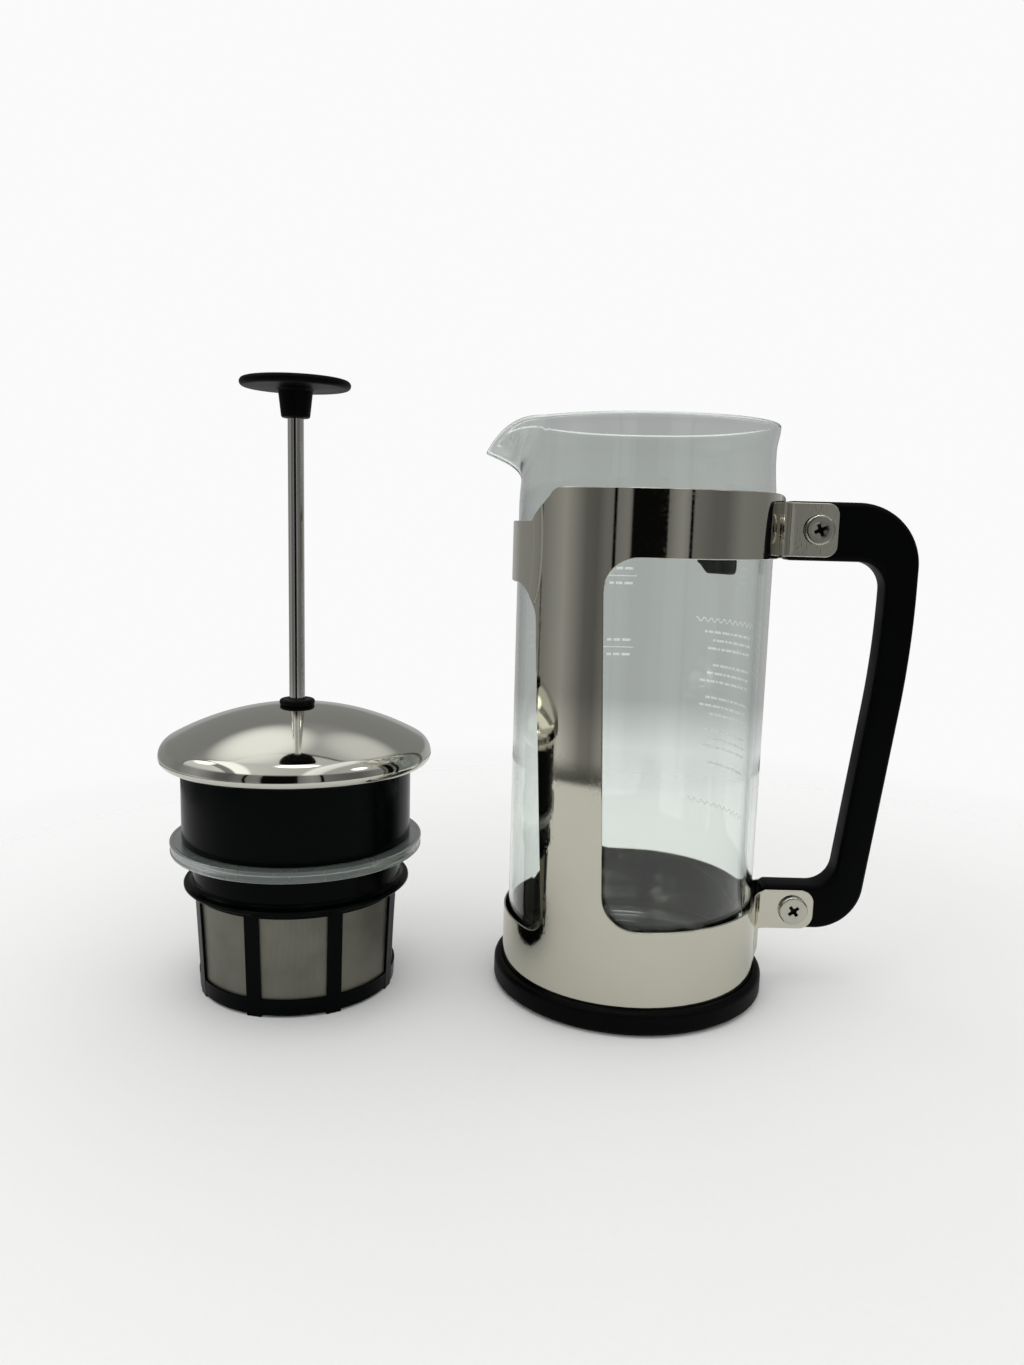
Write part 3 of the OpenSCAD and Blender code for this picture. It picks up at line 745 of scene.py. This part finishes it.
def build_screw_head(name, x, z, y, outward, head_r, head_t, turn, stands_for=()):
    """A low turned head with a rounded edge, a shallow dish round its recess, and a tapering cross."""
    cross = np.array(cross_outline(2.45, 0.7))
    a = math.radians(turn)
    cross = cross @ np.array([[math.cos(a), math.sin(a)], [-math.sin(a), math.cos(a)]])
    angles = np.arctan2(cross[:, 1], cross[:, 0])
    ring = np.stack([np.cos(angles), np.sin(angles)], 1)
    rows = [(cross * 0.3, head_t - 1.5), (cross * 0.9, head_t - 0.9), (cross, head_t - 0.1)]
    rows += [(ring * r, head_t - 0.05 + d) for r, d in ((3.1, 0.03), (3.6, 0.05), (4.6, 0.03))]
    rows += [(ring * px, pz) for px, pz in arc(head_r - 0.8, head_t - 0.8, 0.8, 80, 0, 6)]
    rows += [(ring * head_r, 0.02)]
    count = len(cross)
    points = [(x + px, y + outward * depth, z + pz) for row, depth in rows for px, pz in row]
    faces = [list(range(count))] + ring_faces(len(rows), count, outward=False)
    if outward > 0:
        faces = [face[::-1] for face in faces]
    # painted shade: the bottom and lower walls of the cross recess are marked to be painted dark
    recess_shade = [1.0] * (2 * count) + [0.0] * (len(points) - 2 * count)
    return piece(name, points, faces, "holder", satin_steel, stands_for, 25, painted_light=recess_shade)


def build_fasteners():
    """Screw heads on the near ears and sleeve-nut heads on the far ones."""
    ear_low, ear_high = box_mm("handle")
    for cad, near in (("handle_screws", True), ("sleeve_nuts", False)):
        low, high = box_mm(cad)
        y = ear_low[1] - SHEET_T if near else ear_high[1] + SHEET_T
        outer_y = low[1] if near else high[1]
        head_r = (high[0] - low[0]) / 2
        heights = (low[2] + head_r, high[2] - head_r)
        for place, z, turn in (("lower", heights[0], 38), ("upper", heights[1], 24)):
            name = f"{place}_{'screw' if near else 'nut'}_head"
            stands = [cad] if place == "upper" else []
            build_screw_head(name, (low[0] + high[0]) / 2, z, y, -1 if near else 1, head_r,
                             abs(outer_y - y), turn, stands)


build_holder_sheet()
build_base()
build_handle()
build_fasteners()


# ---------- beaker ----------

def build_beaker():
    """Blown glass with a pouring spout pulled out of its rim, and a rounded rim that carries a painted
    highlight.
    """
    low, high = box_mm("beaker")
    r, wall, foot_r = high[0], 2.3, 7.0
    z0, rim_z, reach = low[2], high[2], -low[0]
    floor_t, drop, half_angle, root_drop, tip_soft = 3.6, 12.4, 33.0, 22.5, 3.2
    waist_depth, start_z, run_depth = 1.1, 190.0, 0.45
    # columns round the beaker, closer together at the spout; angles are from -X
    spread = np.concatenate([np.linspace(-half_angle - 3, half_angle + 3, 97),
                             np.linspace(half_angle + 3, 360 - half_angle - 3, 152)[1:-1]])
    off = (spread + 180) % 360 - 180
    soft = math.hypot(half_angle, tip_soft) - tip_soft
    pull = np.clip(1 - (np.hypot(off, tip_soft) - tip_soft) / soft, 0, 1)
    lip_r = r + (reach - r) * pull ** 1.28
    flat_r = r * math.cos(math.radians(half_angle))
    lip_x = lip_r * np.cos(np.radians(off))
    share = np.clip((lip_x - flat_r) / (reach - flat_r), 0, 1)
    lip_z = rim_z - np.where(pull > 0, drop * share ** 2.8, 0)
    root_z = rim_z - root_drop * pull ** 0.45 - 0.01
    t = np.linspace(0, 1, 31)
    direction = np.stack([-np.cos(np.radians(off)), -np.sin(np.radians(off))], 1)

    def row(radius, z):
        radius = np.broadcast_to(radius, off.shape)
        z = np.broadcast_to(z, off.shape)
        return np.column_stack([direction * radius[:, None], z])

    outer = [row(0.01, z0), row(r - foot_r - 12, z0)]
    outer += [row(px, pz) for px, pz in arc(r - foot_r, z0 + foot_r, foot_r, -90, 0, 10)]
    foot_rows = len(outer)
    outer += [row(r, z) for z in (z0 + foot_r + 1, 40, 80, 120, 160, 186)]
    for k in t:
        z = start_z + (lip_z - start_z) * k
        rise = np.clip((z - root_z) / np.maximum(lip_z - root_z, 0.3), 0, 1)
        waist = waist_depth * smooth((z - start_z) / 20) * smooth((lip_z - z) / 9)
        outer.append(row(r - waist + (lip_r - r) * rise ** 2.1, z))
    # the inner face follows the outer one at the wall's thickness, measured square to it
    body = np.array(outer[foot_rows:])
    up = np.gradient(body, axis=0)
    across = np.roll(body, -1, axis=1) - np.roll(body, 1, axis=1)
    square = np.cross(across, up)
    square /= np.linalg.norm(square, axis=2)[:, :, None]
    square *= np.sign((square[:, :, :2] * direction[None]).sum(2))[:, :, None]
    # the wall thins where the spout was pulled out
    thin = wall * (1 - 0.25 * pull)[None, :, None]
    inner = body - square * thin
    lip_up = up[-1] / np.linalg.norm(up[-1], axis=1)[:, None]
    lip_out = square[-1]
    centre = (body[-1] + inner[-1]) / 2
    half = thin[0] / 2
    rim = []
    for a in np.radians(np.arange(20, 180, 20)):
        rim.append(centre + half * (math.cos(a) * lip_out + math.sin(a) * lip_up * 0.9))
    shift = np.array(rim)[:, :, 2].max() - rim_z
    floor_z = z0 + floor_t
    inner_rows = [ring for ring in inner[::-1] if ring[:, 2].min() > floor_z + 6]
    bottom = [row(px, pz) for px, pz in arc(r - wall - 5, floor_z + 5, 5, 0, -90, 8)]
    for radius in list(np.arange(r - wall - 7.5, 2, -2.0)) + [0.01]:
        ring = row(radius, floor_z)
        x, y = ring[:, 0], ring[:, 1]
        # the floor is blown, so it has shallow hollows and runs
        runs = np.sin(x / 6.1 + 1.3 * np.sin(y / 9.7)) + np.sin(y / 4.3 + x / 11.0 + 0.8)
        runs += np.sin((x - y) / 7.9)
        ring[:, 2] += run_depth * runs * smooth((r - wall - 7 - radius) / 8) * smooth(radius / 4)
        bottom.append(ring)
    rows = outer + rim + inner_rows + bottom
    columns = len(off)
    points = []
    for number, ring in enumerate(rows):
        lowered = ring.copy()
        if number >= len(outer) - len(t):
            # the rim's rounding stays under the top of the CAD beaker
            lowered[:, 2] -= shift * np.clip((ring[:, 2] - start_z) / (rim_z - start_z), 0, 1)
        points += [tuple(p) for p in lowered]
    faces = ring_faces(len(rows), columns)
    faces.append(list(range(columns))[::-1])
    faces.append([(len(rows) - 1) * columns + i for i in range(columns)])
    first_rim = len(outer) * columns
    # the rim's points are marked for the glass's painted highlight
    rim_highlight = [float(first_rim <= i < first_rim + len(rim) * columns) for i in range(len(points))]
    beaker = piece("glass_beaker", points, faces, "glass", glass, ["beaker"], 75,
                   painted_light=rim_highlight)
    # light passes the clear glass on its way to the print and the floor
    beaker.visible_diffuse = False
    beaker.visible_shadow = False


def strip_on_glass(name, paths, width, r):
    """Printed strokes on the glass: each path is a list of (azimuth, z) in degrees and millimetres."""
    points, faces = [], []
    for path in paths:
        p = np.array([(math.radians(a) * r, z) for a, z in path])
        along = np.gradient(p, axis=0)
        along /= np.linalg.norm(along, axis=1)[:, None]
        side = np.stack([-along[:, 1], along[:, 0]], 1) * width / 2
        first = len(points)
        for q in (p + side, p - side):
            points += [(r * math.cos(u / r), r * math.sin(u / r), z) for u, z in q]
        count = len(p)
        faces += [[first + i, first + i + 1, first + count + i + 1, first + count + i]
                  for i in range(count - 1)]
    piece(name, points, faces, "glass", ink)


def build_marks():
    """Two fill lines with dashes beside them, and rows of plain bars between two wavy lines."""
    ink_t, fill_heights, beside = 0.06, (162.0, 130.8), 3.2
    wave_heights, wave_rise, waves_in_turn = (145.0, 66.0), 0.8, 84
    first_row, row_pitch, gap = 140.0, 3.5, 0.8
    r = box_mm("beaker")[1][0] + ink_t
    lines, dashes, bars = [], [], []
    for z in fill_heights:
        lines.append([(a, z) for a in np.linspace(86, 103, 24)])
        for up in (beside, -beside):
            for start, end in ((88, 92.5), (93.5, 97), (98, 100.5)):
                dashes.append([(a, z + up) for a in np.linspace(start, end, 8)])
    waves = [[(a, z + wave_rise * math.sin(math.radians(a) * waves_in_turn))
              for a in np.linspace(8, 53, 300)] for z in wave_heights]
    # rows stand in threes, and the lengths of their bars differ
    for k in range(17):
        if k % 4 == 3:
            continue
        z, start, reach = first_row - row_pitch * k, 11, 49 - 3.5 * ((k * 5) % 3)
        for n in range(20):
            end = min(start + 1.6 + 1.3 * ((5 * k + 3 * n) % 4), reach)
            if end - start > 1:
                bars.append([(a, z) for a in np.linspace(start, end, 5)])
            start = end + gap
    strip_on_glass("fill_lines", lines, 0.45, r)
    strip_on_glass("fill_dashes", dashes, 1.1, r)
    strip_on_glass("wavy_lines", waves, 0.5, r)
    strip_on_glass("ruled_bars", bars, 1.0, r)


build_beaker()
build_marks()


# ---------- glass lock ----------

def sector(name, columns, edge, stands_for=()):
    """A curved piece of the lock: each column is (azimuth, inner r, outer r, low z, high z)."""
    points, count = [], 0
    for a, r0, r1, z0, z1 in columns:
        e = min(edge, (r1 - r0) / 2 - 0.01, (z1 - z0) / 2 - 0.01)
        ring = rounded([(r0, z0, e), (r1, z0, e), (r1, z1, e), (r0, z1, e)], n=4)
        count = len(ring)
        c, s = math.cos(math.radians(a)), math.sin(math.radians(a))
        points += [(r * c, r * s, z) for r, z in ring]
    faces = ring_faces(len(columns), count, outward=False)
    faces.append(list(range(count)))
    faces.append([(len(columns) - 1) * count + i for i in range(count)][::-1])
    piece(name, points, faces, "lock", gloss_plastic, stands_for, crease=50)


def round_ended(a0, a1, r0, r1, z0, z1, end_angle, n=8):
    """Columns of a bar whose ends are rounded within end_angle degrees."""
    middle, half = (z0 + z1) / 2, (z1 - z0) / 2
    columns = []
    for k in range(n + 1):
        share = math.sin(math.pi / 2 * k / n)
        height = max(math.sqrt(1 - (1 - share) ** 2), 0.12)
        columns.append((share * end_angle, middle - half * height, middle + half * height))
    left = [(a0 + d, r0, r1, low, high) for d, low, high in columns]
    right = [(a1 - d, r0, r1, low, high) for d, low, high in columns]
    centre = [(a, r0, r1, z0, z1) for a in np.linspace(a0 + end_angle, a1 - end_angle, 12)[1:-1]]
    return left + centre + right[::-1]


def build_lock():
    """The slider under the band's far side: a plate outside it, a sloping wedge, a pad and a finger tab."""
    low, high = box_mm("glass_lock")
    band_r = -box_mm("holder_frame")[0][0]
    glass_r = box_mm("beaker")[1][0]
    foot, top = low[2], high[2]
    under_band = foot + 7.0
    centre = math.degrees(math.atan2(low[1] + high[1], low[0] + high[0]))
    plate_r = band_r + 2.7
    # the wedge's blunt end has a rounded corner, and its other end slopes up to the band
    blunt_end, corner_r, slope_rise = centre - 10.5, 1.8, 4.4
    wedge = []
    for a in np.linspace(blunt_end, centre + 10.8, 64):
        corner = 1 - min((a - blunt_end) / 2, 1)
        slope = float(smooth((a - centre - 4.5) / 6.5))
        rise = corner_r * (1 - math.sqrt(1 - corner ** 2)) + slope_rise * slope
        wedge.append((a, glass_r + 1.3, plate_r, foot + rise, under_band))
    sector("lock_wedge", wedge, 0.5, ["glass_lock"])
    plate_columns = round_ended(centre - 8.3, centre + 8.3, band_r + 0.3, plate_r, under_band - 1, top, 3.2)
    sector("lock_plate", plate_columns, 0.6)
    pad = round_ended(centre - 12, centre + 3.2, glass_r + 0.4, glass_r + 1.6, foot + 0.5, foot + 3.9, 1.9)
    sector("lock_pad", pad, 0.5)
    tab = round_ended(centre - 6.8, centre + 6.8, plate_r - 0.5, plate_r + 1.9, foot + 0.1, foot + 3.8, 1.6)
    sector("lock_tab", tab, 0.6)


build_lock()


# ---------- plunger ----------

def build_knob():
    """The press knob: a flat disc with soft edges on a tapered hub."""
    r, foot, top = round_size("knob")
    disc_t = 3.9
    outline = rounded([
        (0, foot, 0), (5.3, foot, 0.9), (6.5, top - disc_t, 1.3), (r, top - disc_t + 0.3, 1.6),
        (r, top - 0.5, 1.6), (8, top, 20), (0, top, 0)], False, 10)
    spin("press_knob", outline, PLUNGER_AXIS, "plunger", knob_plastic, ["knob"], False,
         crease=60)


def build_rod():
    """The rod, with its ends broken."""
    r, foot, top = round_size("rod")
    outline = rounded([(0, foot, 0), (r, foot, 0.5), (r, top, 0.3), (0, top, 0)], False)
    spin("press_rod", outline, PLUNGER_AXIS, "plunger", rod_steel, ["rod"], False, 96)


LID_CURL = 3.0  # radius of the lid's rolled edge


def lid_line(r_rim, rim_z, inset):
    """Section of the lid's sheet: crown, shoulder and rolled edge, inset by its thickness."""
    curve_r, shoulder, curl, hem_r, hole_r = 100.0, 7.0, LID_CURL, 46.6, 4.6
    at = r_rim - shoulder
    tilt = math.degrees(math.asin(at / (curve_r - shoulder)))
    z0 = rim_z - (curve_r - shoulder) * math.cos(math.radians(tilt))
    crown = arc(0, z0, curve_r - inset, 90 - math.degrees(math.asin(hole_r / curve_r)), 90 - tilt, 60)
    side = arc(at, rim_z, shoulder - inset, 90 - tilt - 2, 0, 30)
    roll = arc(r_rim - curl, rim_z, curl - inset, -5, -90, 20)
    return crown + side + roll + [(hem_r, rim_z - curl + inset)]


def build_lid():
    """The lid: a steel shell with a rolled edge, a black skirt and plate inside it, and a grommet on top."""
    r, foot, _ = round_size("lid_dome")
    rim_z, shell_t = foot + LID_CURL, 0.7
    outline = lid_line(r, rim_z, 0) + lid_line(r, rim_z, shell_t)[::-1]
    spin("lid_shell", outline, PLUNGER_AXIS, "lid", lid_steel, ["lid_dome"], True, 288,
         crease=50)

    r, foot, top = round_size("lid_skirt")
    skirt_r, wall, bore, boss_r, boss_h, plate_t = 44.2, 1.8, 6.2, 9.0, 8.0, 1.6
    under = top - plate_t
    outline = rounded([
        (skirt_r - wall, foot, 0.5), (skirt_r, foot, 0.6), (skirt_r, under, 0.3), (r, under, 0.3),
        (r, top, 0.3), (bore, top, 0.2), (bore, under - boss_h, 0.2), (boss_r, under - boss_h, 0.4),
        (boss_r, under, 0.4), (skirt_r - wall, under, 0.4)])
    spin("skirt", outline, PLUNGER_AXIS, "lid", gloss_plastic, ["lid_skirt"])

    r, foot, top = round_size("lid_grommet")
    bore = 3.05
    outline = rounded([(bore, foot, 0), (r - 0.3, foot, 0.2), (r, foot + 0.9, 0.5), (r - 0.1, top, 1.05),
                       (bore, top - 0.1, 0.7)], n=8)
    spin("grommet", outline, PLUNGER_AXIS, "lid_bearing", rubber, ["lid_grommet"], crease=60)


def build_seal():
    """The silicone lip seal: a web gripped on the collar, and a skirt with a bead at its top and foot."""
    r, foot, top = round_size("lip_seal")
    bore, grip_r, grip_h, web_t = 39.9, 40.52, 3.6, 1.55
    outline = rounded([
        (bore, top, 0.15), (r - 1.6, top - 0.25, 0.5), (r - 1.1, top, 0.3), (r, top - 0.1, 0.45),
        (r - 0.05, top - 1.3, 0.4), (r - 0.45, top - 1.9, 0.5), (r - 0.45, foot + 1.3, 0.4),
        (r - 0.1, foot + 0.8, 0.3), (r - 0.1, foot, 0.4), (r - 1.3, foot + 0.05, 0.4),
        (r - 1.5, top - 1.9, 0.6), (grip_r + 1.98, top - 1.6, 0.3), (grip_r + 1.58, top - grip_h, 0.3),
        (grip_r, top - grip_h, 0.2), (grip_r, top - web_t, 0.1), (bore, top - web_t, 0.1)], n=6)
    spin("seal", outline, PLUNGER_AXIS, "basket", silicone, ["lip_seal"])


def cloth(name, cad, body, points, faces, coordinates):
    """A piece of filter cloth. Its coordinates count the wires, for the weave."""
    obj = piece(name, points, faces, body, mesh_cloth, [cad])
    uv = obj.data.uv_layers.new(name="UVMap")
    for loop in obj.data.loops:
        uv.data[loop.index].uv = coordinates[loop.vertex_index]


def woven_cone(name, cad, body):
    """A tapered sleeve of cloth in a CAD sleeve's place, bowed in a little between the ribs."""
    low, high = box_mm(cad)
    cad_points = np.array([v.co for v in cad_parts[cad].data.vertices]) / MM - [*PLUNGER_AXIS, 0]
    radius = np.hypot(cad_points[:, 0], cad_points[:, 1])
    r_low = radius[cad_points[:, 2] < low[2] + 0.1].max()
    r_high = radius[cad_points[:, 2] > high[2] - 0.1].max()
    bow, thickness, columns, levels = 0.25, 0.3, 256, 20
    axis_x, axis_y = PLUNGER_AXIS
    points, faces, coordinates = [], [], []
    for inward in (0, thickness):
        for k in range(levels + 1):
            share = k / levels
            z = low[2] + (high[2] - low[2]) * share
            for i in range(columns + 1):
                a = 2 * math.pi * i / columns
                between = math.sin(RIBS * (a - RIB_PHASE) / 2) ** 2 * math.sin(math.pi * share)
                r = r_low + (r_high - r_low) * share - bow * between - inward
                points.append((axis_x + r * math.cos(a), axis_y + r * math.sin(a), z))
                coordinates.append((a * r_low / WIRE_PITCH, z / WIRE_PITCH))
    row, layer = columns + 1, (columns + 1) * (levels + 1)
    for side in (0, 1):
        for k in range(levels):
            for i in range(columns):
                a = side * layer + k * row + i
                quad = [a, a + 1, a + row + 1, a + row]
                faces.append(quad if side == 0 else quad[::-1])
    for k, flip in ((0, True), (levels, False)):
        for i in range(columns):
            a = k * row + i
            quad = [a, a + 1, a + 1 + layer, a + layer]
            faces.append(quad[::-1] if flip else quad)
    cloth(name, cad, body, points, faces, coordinates)


def woven_disc(name, cad, body):
    """A floor of cloth in a CAD disc's place, sagging a little between the spokes."""
    r, foot, z = round_size(cad)
    thickness = z - foot
    sag, columns, rings = 0.12, 160, 14
    axis_x, axis_y = PLUNGER_AXIS
    points, faces = [], []
    for drop in (0, thickness - sag):
        for k in range(rings + 1):
            for i in range(columns):
                a, share = 2 * math.pi * i / columns, max(k / rings, 0.001)
                dip = sag * math.sin(RIBS * (a - RIB_PHASE) / 2) ** 2 * math.sin(math.pi * share)
                x, y = axis_x + r * share * math.cos(a), axis_y + r * share * math.sin(a)
                points.append((x, y, z - drop - dip))
    layer = columns * (rings + 1)
    for side in (0, 1):
        for k in range(rings):
            for i in range(columns):
                j = (i + 1) % columns
                quad = [side * layer + k * columns + i, side * layer + (k + 1) * columns + i,
                        side * layer + (k + 1) * columns + j, side * layer + k * columns + j]
                faces.append(quad if side == 0 else quad[::-1])
    for i in range(columns):
        j = (i + 1) % columns
        a, b = rings * columns + i, rings * columns + j
        faces.append([b, a, a + layer, b + layer])
    for side in (0, 1):
        centre_ring = [side * layer + i for i in range(columns)]
        faces.append(centre_ring if side == 0 else centre_ring[::-1])
    cloth(name, cad, body, points, faces, [(x / WIRE_PITCH, y / WIRE_PITCH) for x, y, _ in points])


build_knob()
build_rod()
build_lid()
build_seal()
woven_cone("outer_cloth", "outer_mesh", "basket")
woven_cone("inner_cloth", "inner_mesh", "plunger")
woven_disc("outer_floor_cloth", "outer_floor_mesh", "basket")
woven_disc("inner_floor_cloth", "inner_floor_mesh", "plunger")


# ---------- CAD nodes that stay ----------

KEPT = {
    "glass_seat": seat_rubber, "lock_keeper": satin_steel, "knob_insert": brass,
    "rod_nut": satin_steel, "inner_frame": gloss_plastic, "outer_frame": gloss_plastic,
    "lid_bush": gloss_plastic,
}
for name, material in KEPT.items():
    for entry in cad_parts[name].material_slots:
        entry.material = material


# ---------- stage, light and camera ----------

def build_floor():
    """A pale floor that fades out into the backdrop away from the object."""
    made, tree, shader = new_material("floor")
    where = position(tree)
    reflected_table_r, reflected_edge_w, fade_end, floor_r, segments = 0.396, 0.014, 0.5, 0.52, 96
    speckle = noise(tree, where, 400, 2)
    radius = axis_radius(tree, where)
    rays = node(tree, "LightPath").outputs
    seen_clearly = calc(tree, "MAXIMUM", rays["Is Camera Ray"], rays["Is Transmission Ray"])
    pale = blend(tree, speckle, (0.81, 0.81, 0.805), (0.83, 0.83, 0.825))
    # painted reflection: rays other than camera and transmission rays see the floor slightly darker, and dark
    # beyond the table's edge, so the polished steel mirrors a darker table and its dark edge that the camera
    # never sees
    edge = ramp(tree, radius, [(0.0, 0.18), (reflected_table_r, 0.18), (reflected_table_r + reflected_edge_w, 1.0)])
    edge = calc(tree, "MULTIPLY", edge, calc(tree, "SUBTRACT", 1.0, seen_clearly))
    set_sockets(tree, shader, Base_Color=blend(tree, edge, pale, (0.06, 0.06, 0.055)),
                Roughness=remap(tree, speckle, 0.3, 0.7, 0.6, 0.7), Specular_IOR_Level=0.2)
    # painted reflection: reflections see the floor out to a larger radius than the camera does
    fade_start = remap(tree, seen_clearly, 0, 1, 0.40, 0.14)
    set_sockets(tree, shader, Alpha=remap(tree, radius, fade_start, fade_end, 1, 0, "SMOOTHERSTEP"))
    mesh = bpy.data.meshes.new("floor")
    angles = np.linspace(0, 2 * math.pi, segments, endpoint=False)
    mesh.from_pydata([(floor_r * math.cos(a), floor_r * math.sin(a), 0) for a in angles], [],
                     [list(range(segments))])
    mesh.materials.append(made)
    floor = bpy.data.objects.new("floor", mesh)
    bpy.context.scene.collection.objects.link(floor)


# Grey levels of the tent's walls against azimuth, which is 0 towards -Y and 90 towards +X.
# The dark stretch is the opening that the camera looks through, between two grey flaps.
TENT_WALLS = [
    (-180, 0.46), (-158, 0.42), (-142, 0.3), (-115, 0.29), (-100, 0.24), (-77, 0.38), (-66, 0.26),
    (-56, 0.14), (-46, 0.12), (-38, 0.19), (-33.2, 0.19), (-32.7, 0.0), (-30.9, 0.0), (-30.3, 0.21),
    (-22, 0.25), (-18.4, 0.23), (-17.9, 0.004), (11.9, 0.004), (12.6, 0.19), (18, 0.27), (24, 0.33),
    (30.3, 0.25), (30.9, 0.0), (32.7, 0.0), (33.2, 0.2), (52, 0.14), (64, 0.14), (80, 0.25), (112, 0.22),
    (140, 0.4), (160, 0.49), (180, 0.44)]
# Grey levels of the roof's back half against the height of the direction's unit vector.
TENT_BACK = [(0.0, 0.46), (0.1, 0.38), (0.16, 0.27), (0.6, 0.27), (0.72, 0.36), (0.8, 0.46), (1.0, 0.5)]
# Grey levels of the roof's front half against the direction's X, from -1 to 1.
TENT_FRONT = [
    (-1, 0.7), (-0.72, 0.85), (-0.69, 0.28), (-0.61, 0.28), (-0.58, 1.5), (-0.44, 1.4), (-0.4, 0.75),
    (0.0, 0.62), (0.2, 0.6), (0.26, 1.2), (0.42, 1.0), (0.48, 0.5), (1, 0.55)]
# Soft glows on the roof: azimuth, elevation, inner and outer angle in degrees, and grey level.
GLOWS = [
    (-152, 53, 4, 17, 1.15), (163, 50, 1, 14, 0.75), (-100, 44, 3, 9, 3.0), (72, 38, 3, 8, 3.0),
    (0, 90, 4, 11, 7.0)]


def direction_to(azimuth, elevation):
    """Unit vector towards an azimuth and elevation in degrees."""
    a, e = math.radians(azimuth), math.radians(elevation)
    return Vector((math.sin(a) * math.cos(e), -math.cos(a) * math.cos(e), math.sin(e)))


def build_world():
    """A light tent of grey cloth as glossy surfaces see it, an even fill for matt ones, a pale backdrop."""
    seam_lean, wall_lean = 0.47, 0.25
    world = bpy.data.worlds.new("tent")
    bpy.context.scene.world = world
    world.use_nodes = True
    tree = world.node_tree
    outward = node(tree, "TexCoord").outputs["Generated"]
    x, y, z = node(tree, "SeparateXYZ", None, Vector=outward).outputs
    azimuth = calc(tree, "ARCTAN2", x, calc(tree, "MULTIPLY", y, -1.0))
    around = remap(tree, azimuth, -math.pi, math.pi, 0, 1)
    walls = ramp(tree, around, [((a + 180) / 360, g) for a, g in TENT_WALLS])
    # the walls are lighter at their foot
    walls = calc(tree, "MULTIPLY", walls, remap(tree, z, -0.21, -0.165, 1.7, 1.0))
    roof = ramp(tree, z, TENT_BACK)
    front = ramp(tree, remap(tree, x, -1, 1, 0, 1), [((v + 1) / 2, g) for v, g in TENT_FRONT])
    # the roof's two halves meet over the object, and a dark seam runs beside the join
    seam = calc(tree, "SUBTRACT", y, calc(tree, "MULTIPLY", z, seam_lean))
    roof = blend(tree, remap(tree, seam, -0.02, -0.01, 1, 0), roof, front)
    dark_seam = ramp(tree, remap(tree, seam, -0.05, 0.05, 0, 1), [
        (0, 0.0), (0.28, 0.0), (0.38, 0.9), (0.45, 0.9), (0.6, 0.0)])
    roof = blend(tree, dark_seam, roof, (0.05, 0.05, 0.045))
    for glow_azimuth, elevation, inner, outer, level in GLOWS:
        toward = tuple(direction_to(glow_azimuth, elevation))
        product = node(tree, "VectorMath", {"operation": "DOT_PRODUCT"}, _0=outward, _1=toward)
        cosine = product.outputs["Value"]
        edges = [math.cos(math.radians(a)) for a in (outer, inner)]
        spread = remap(tree, cosine, *edges, 0, 1, "SMOOTHSTEP")
        roof = blend(tree, spread, roof, (level, level, level * 0.98))
    # the walls reach higher at the front than at the back
    height = calc(tree, "ADD", z, calc(tree, "MULTIPLY", y, wall_lean))
    tent = blend(tree, remap(tree, height, 0.26, 0.40, 0, 1), walls, roof)
    rays = node(tree, "LightPath")
    lit = blend(tree, rays.outputs["Is Diffuse Ray"], tent, (0.98, 0.99, 0.98))
    shown = blend(tree, rays.outputs["Is Camera Ray"], lit, (0.955, 0.96, 0.955))
    tree.links.new(shown, tree.nodes["Background"].inputs["Color"])


MIDDLE = Vector((-0.05, 0, 0.1))  # about the middle of the object


def add_panel(name, azimuth, elevation, distance, width, height, radiance):
    """A soft light panel that faces the object from the given direction."""
    away = direction_to(azimuth, elevation)
    data = bpy.data.lights.new(name, "AREA")
    data.shape, data.size, data.size_y = "RECTANGLE", width, height
    data.energy = radiance * math.pi * width * height
    light = bpy.data.objects.new(name, data)
    light.location = MIDDLE + away * distance
    light.visible_glossy = False
    light.visible_transmission = False
    light.rotation_mode = "QUATERNION"
    light.rotation_quaternion = away.to_track_quat("Z", "Y")
    bpy.context.scene.collection.objects.link(light)


def build_camera():
    """A camera level with the holder's upper band, tipped down and rolled slightly, in radians."""
    position_mm, pitch, roll, lens = (-49.8, -405.2, 183.8), 0.1538, 0.0265, 27.32
    data = bpy.data.cameras.new("camera")
    data.sensor_width, data.lens = 36.0, lens
    data.clip_start = 0.01
    camera = bpy.data.objects.new("camera", data)
    ahead = Vector((0, math.cos(pitch), -math.sin(pitch)))
    level_up = Vector((0, math.sin(pitch), math.cos(pitch)))
    right = math.cos(roll) * Vector((1, 0, 0)) + math.sin(roll) * level_up
    up = -math.sin(roll) * Vector((1, 0, 0)) + math.cos(roll) * level_up
    camera.matrix_world = Matrix((
        (right.x, up.x, -ahead.x, position_mm[0] * MM), (right.y, up.y, -ahead.y, position_mm[1] * MM),
        (right.z, up.z, -ahead.z, position_mm[2] * MM), (0, 0, 0, 1)))
    bpy.context.scene.collection.objects.link(camera)
    bpy.context.scene.camera = camera


build_floor()
build_world()
add_panel("panel_top", -50, 62, 1.1, 0.5, 0.5, 1.0)
build_camera()
bpy.context.scene.view_settings.view_transform = "Standard"
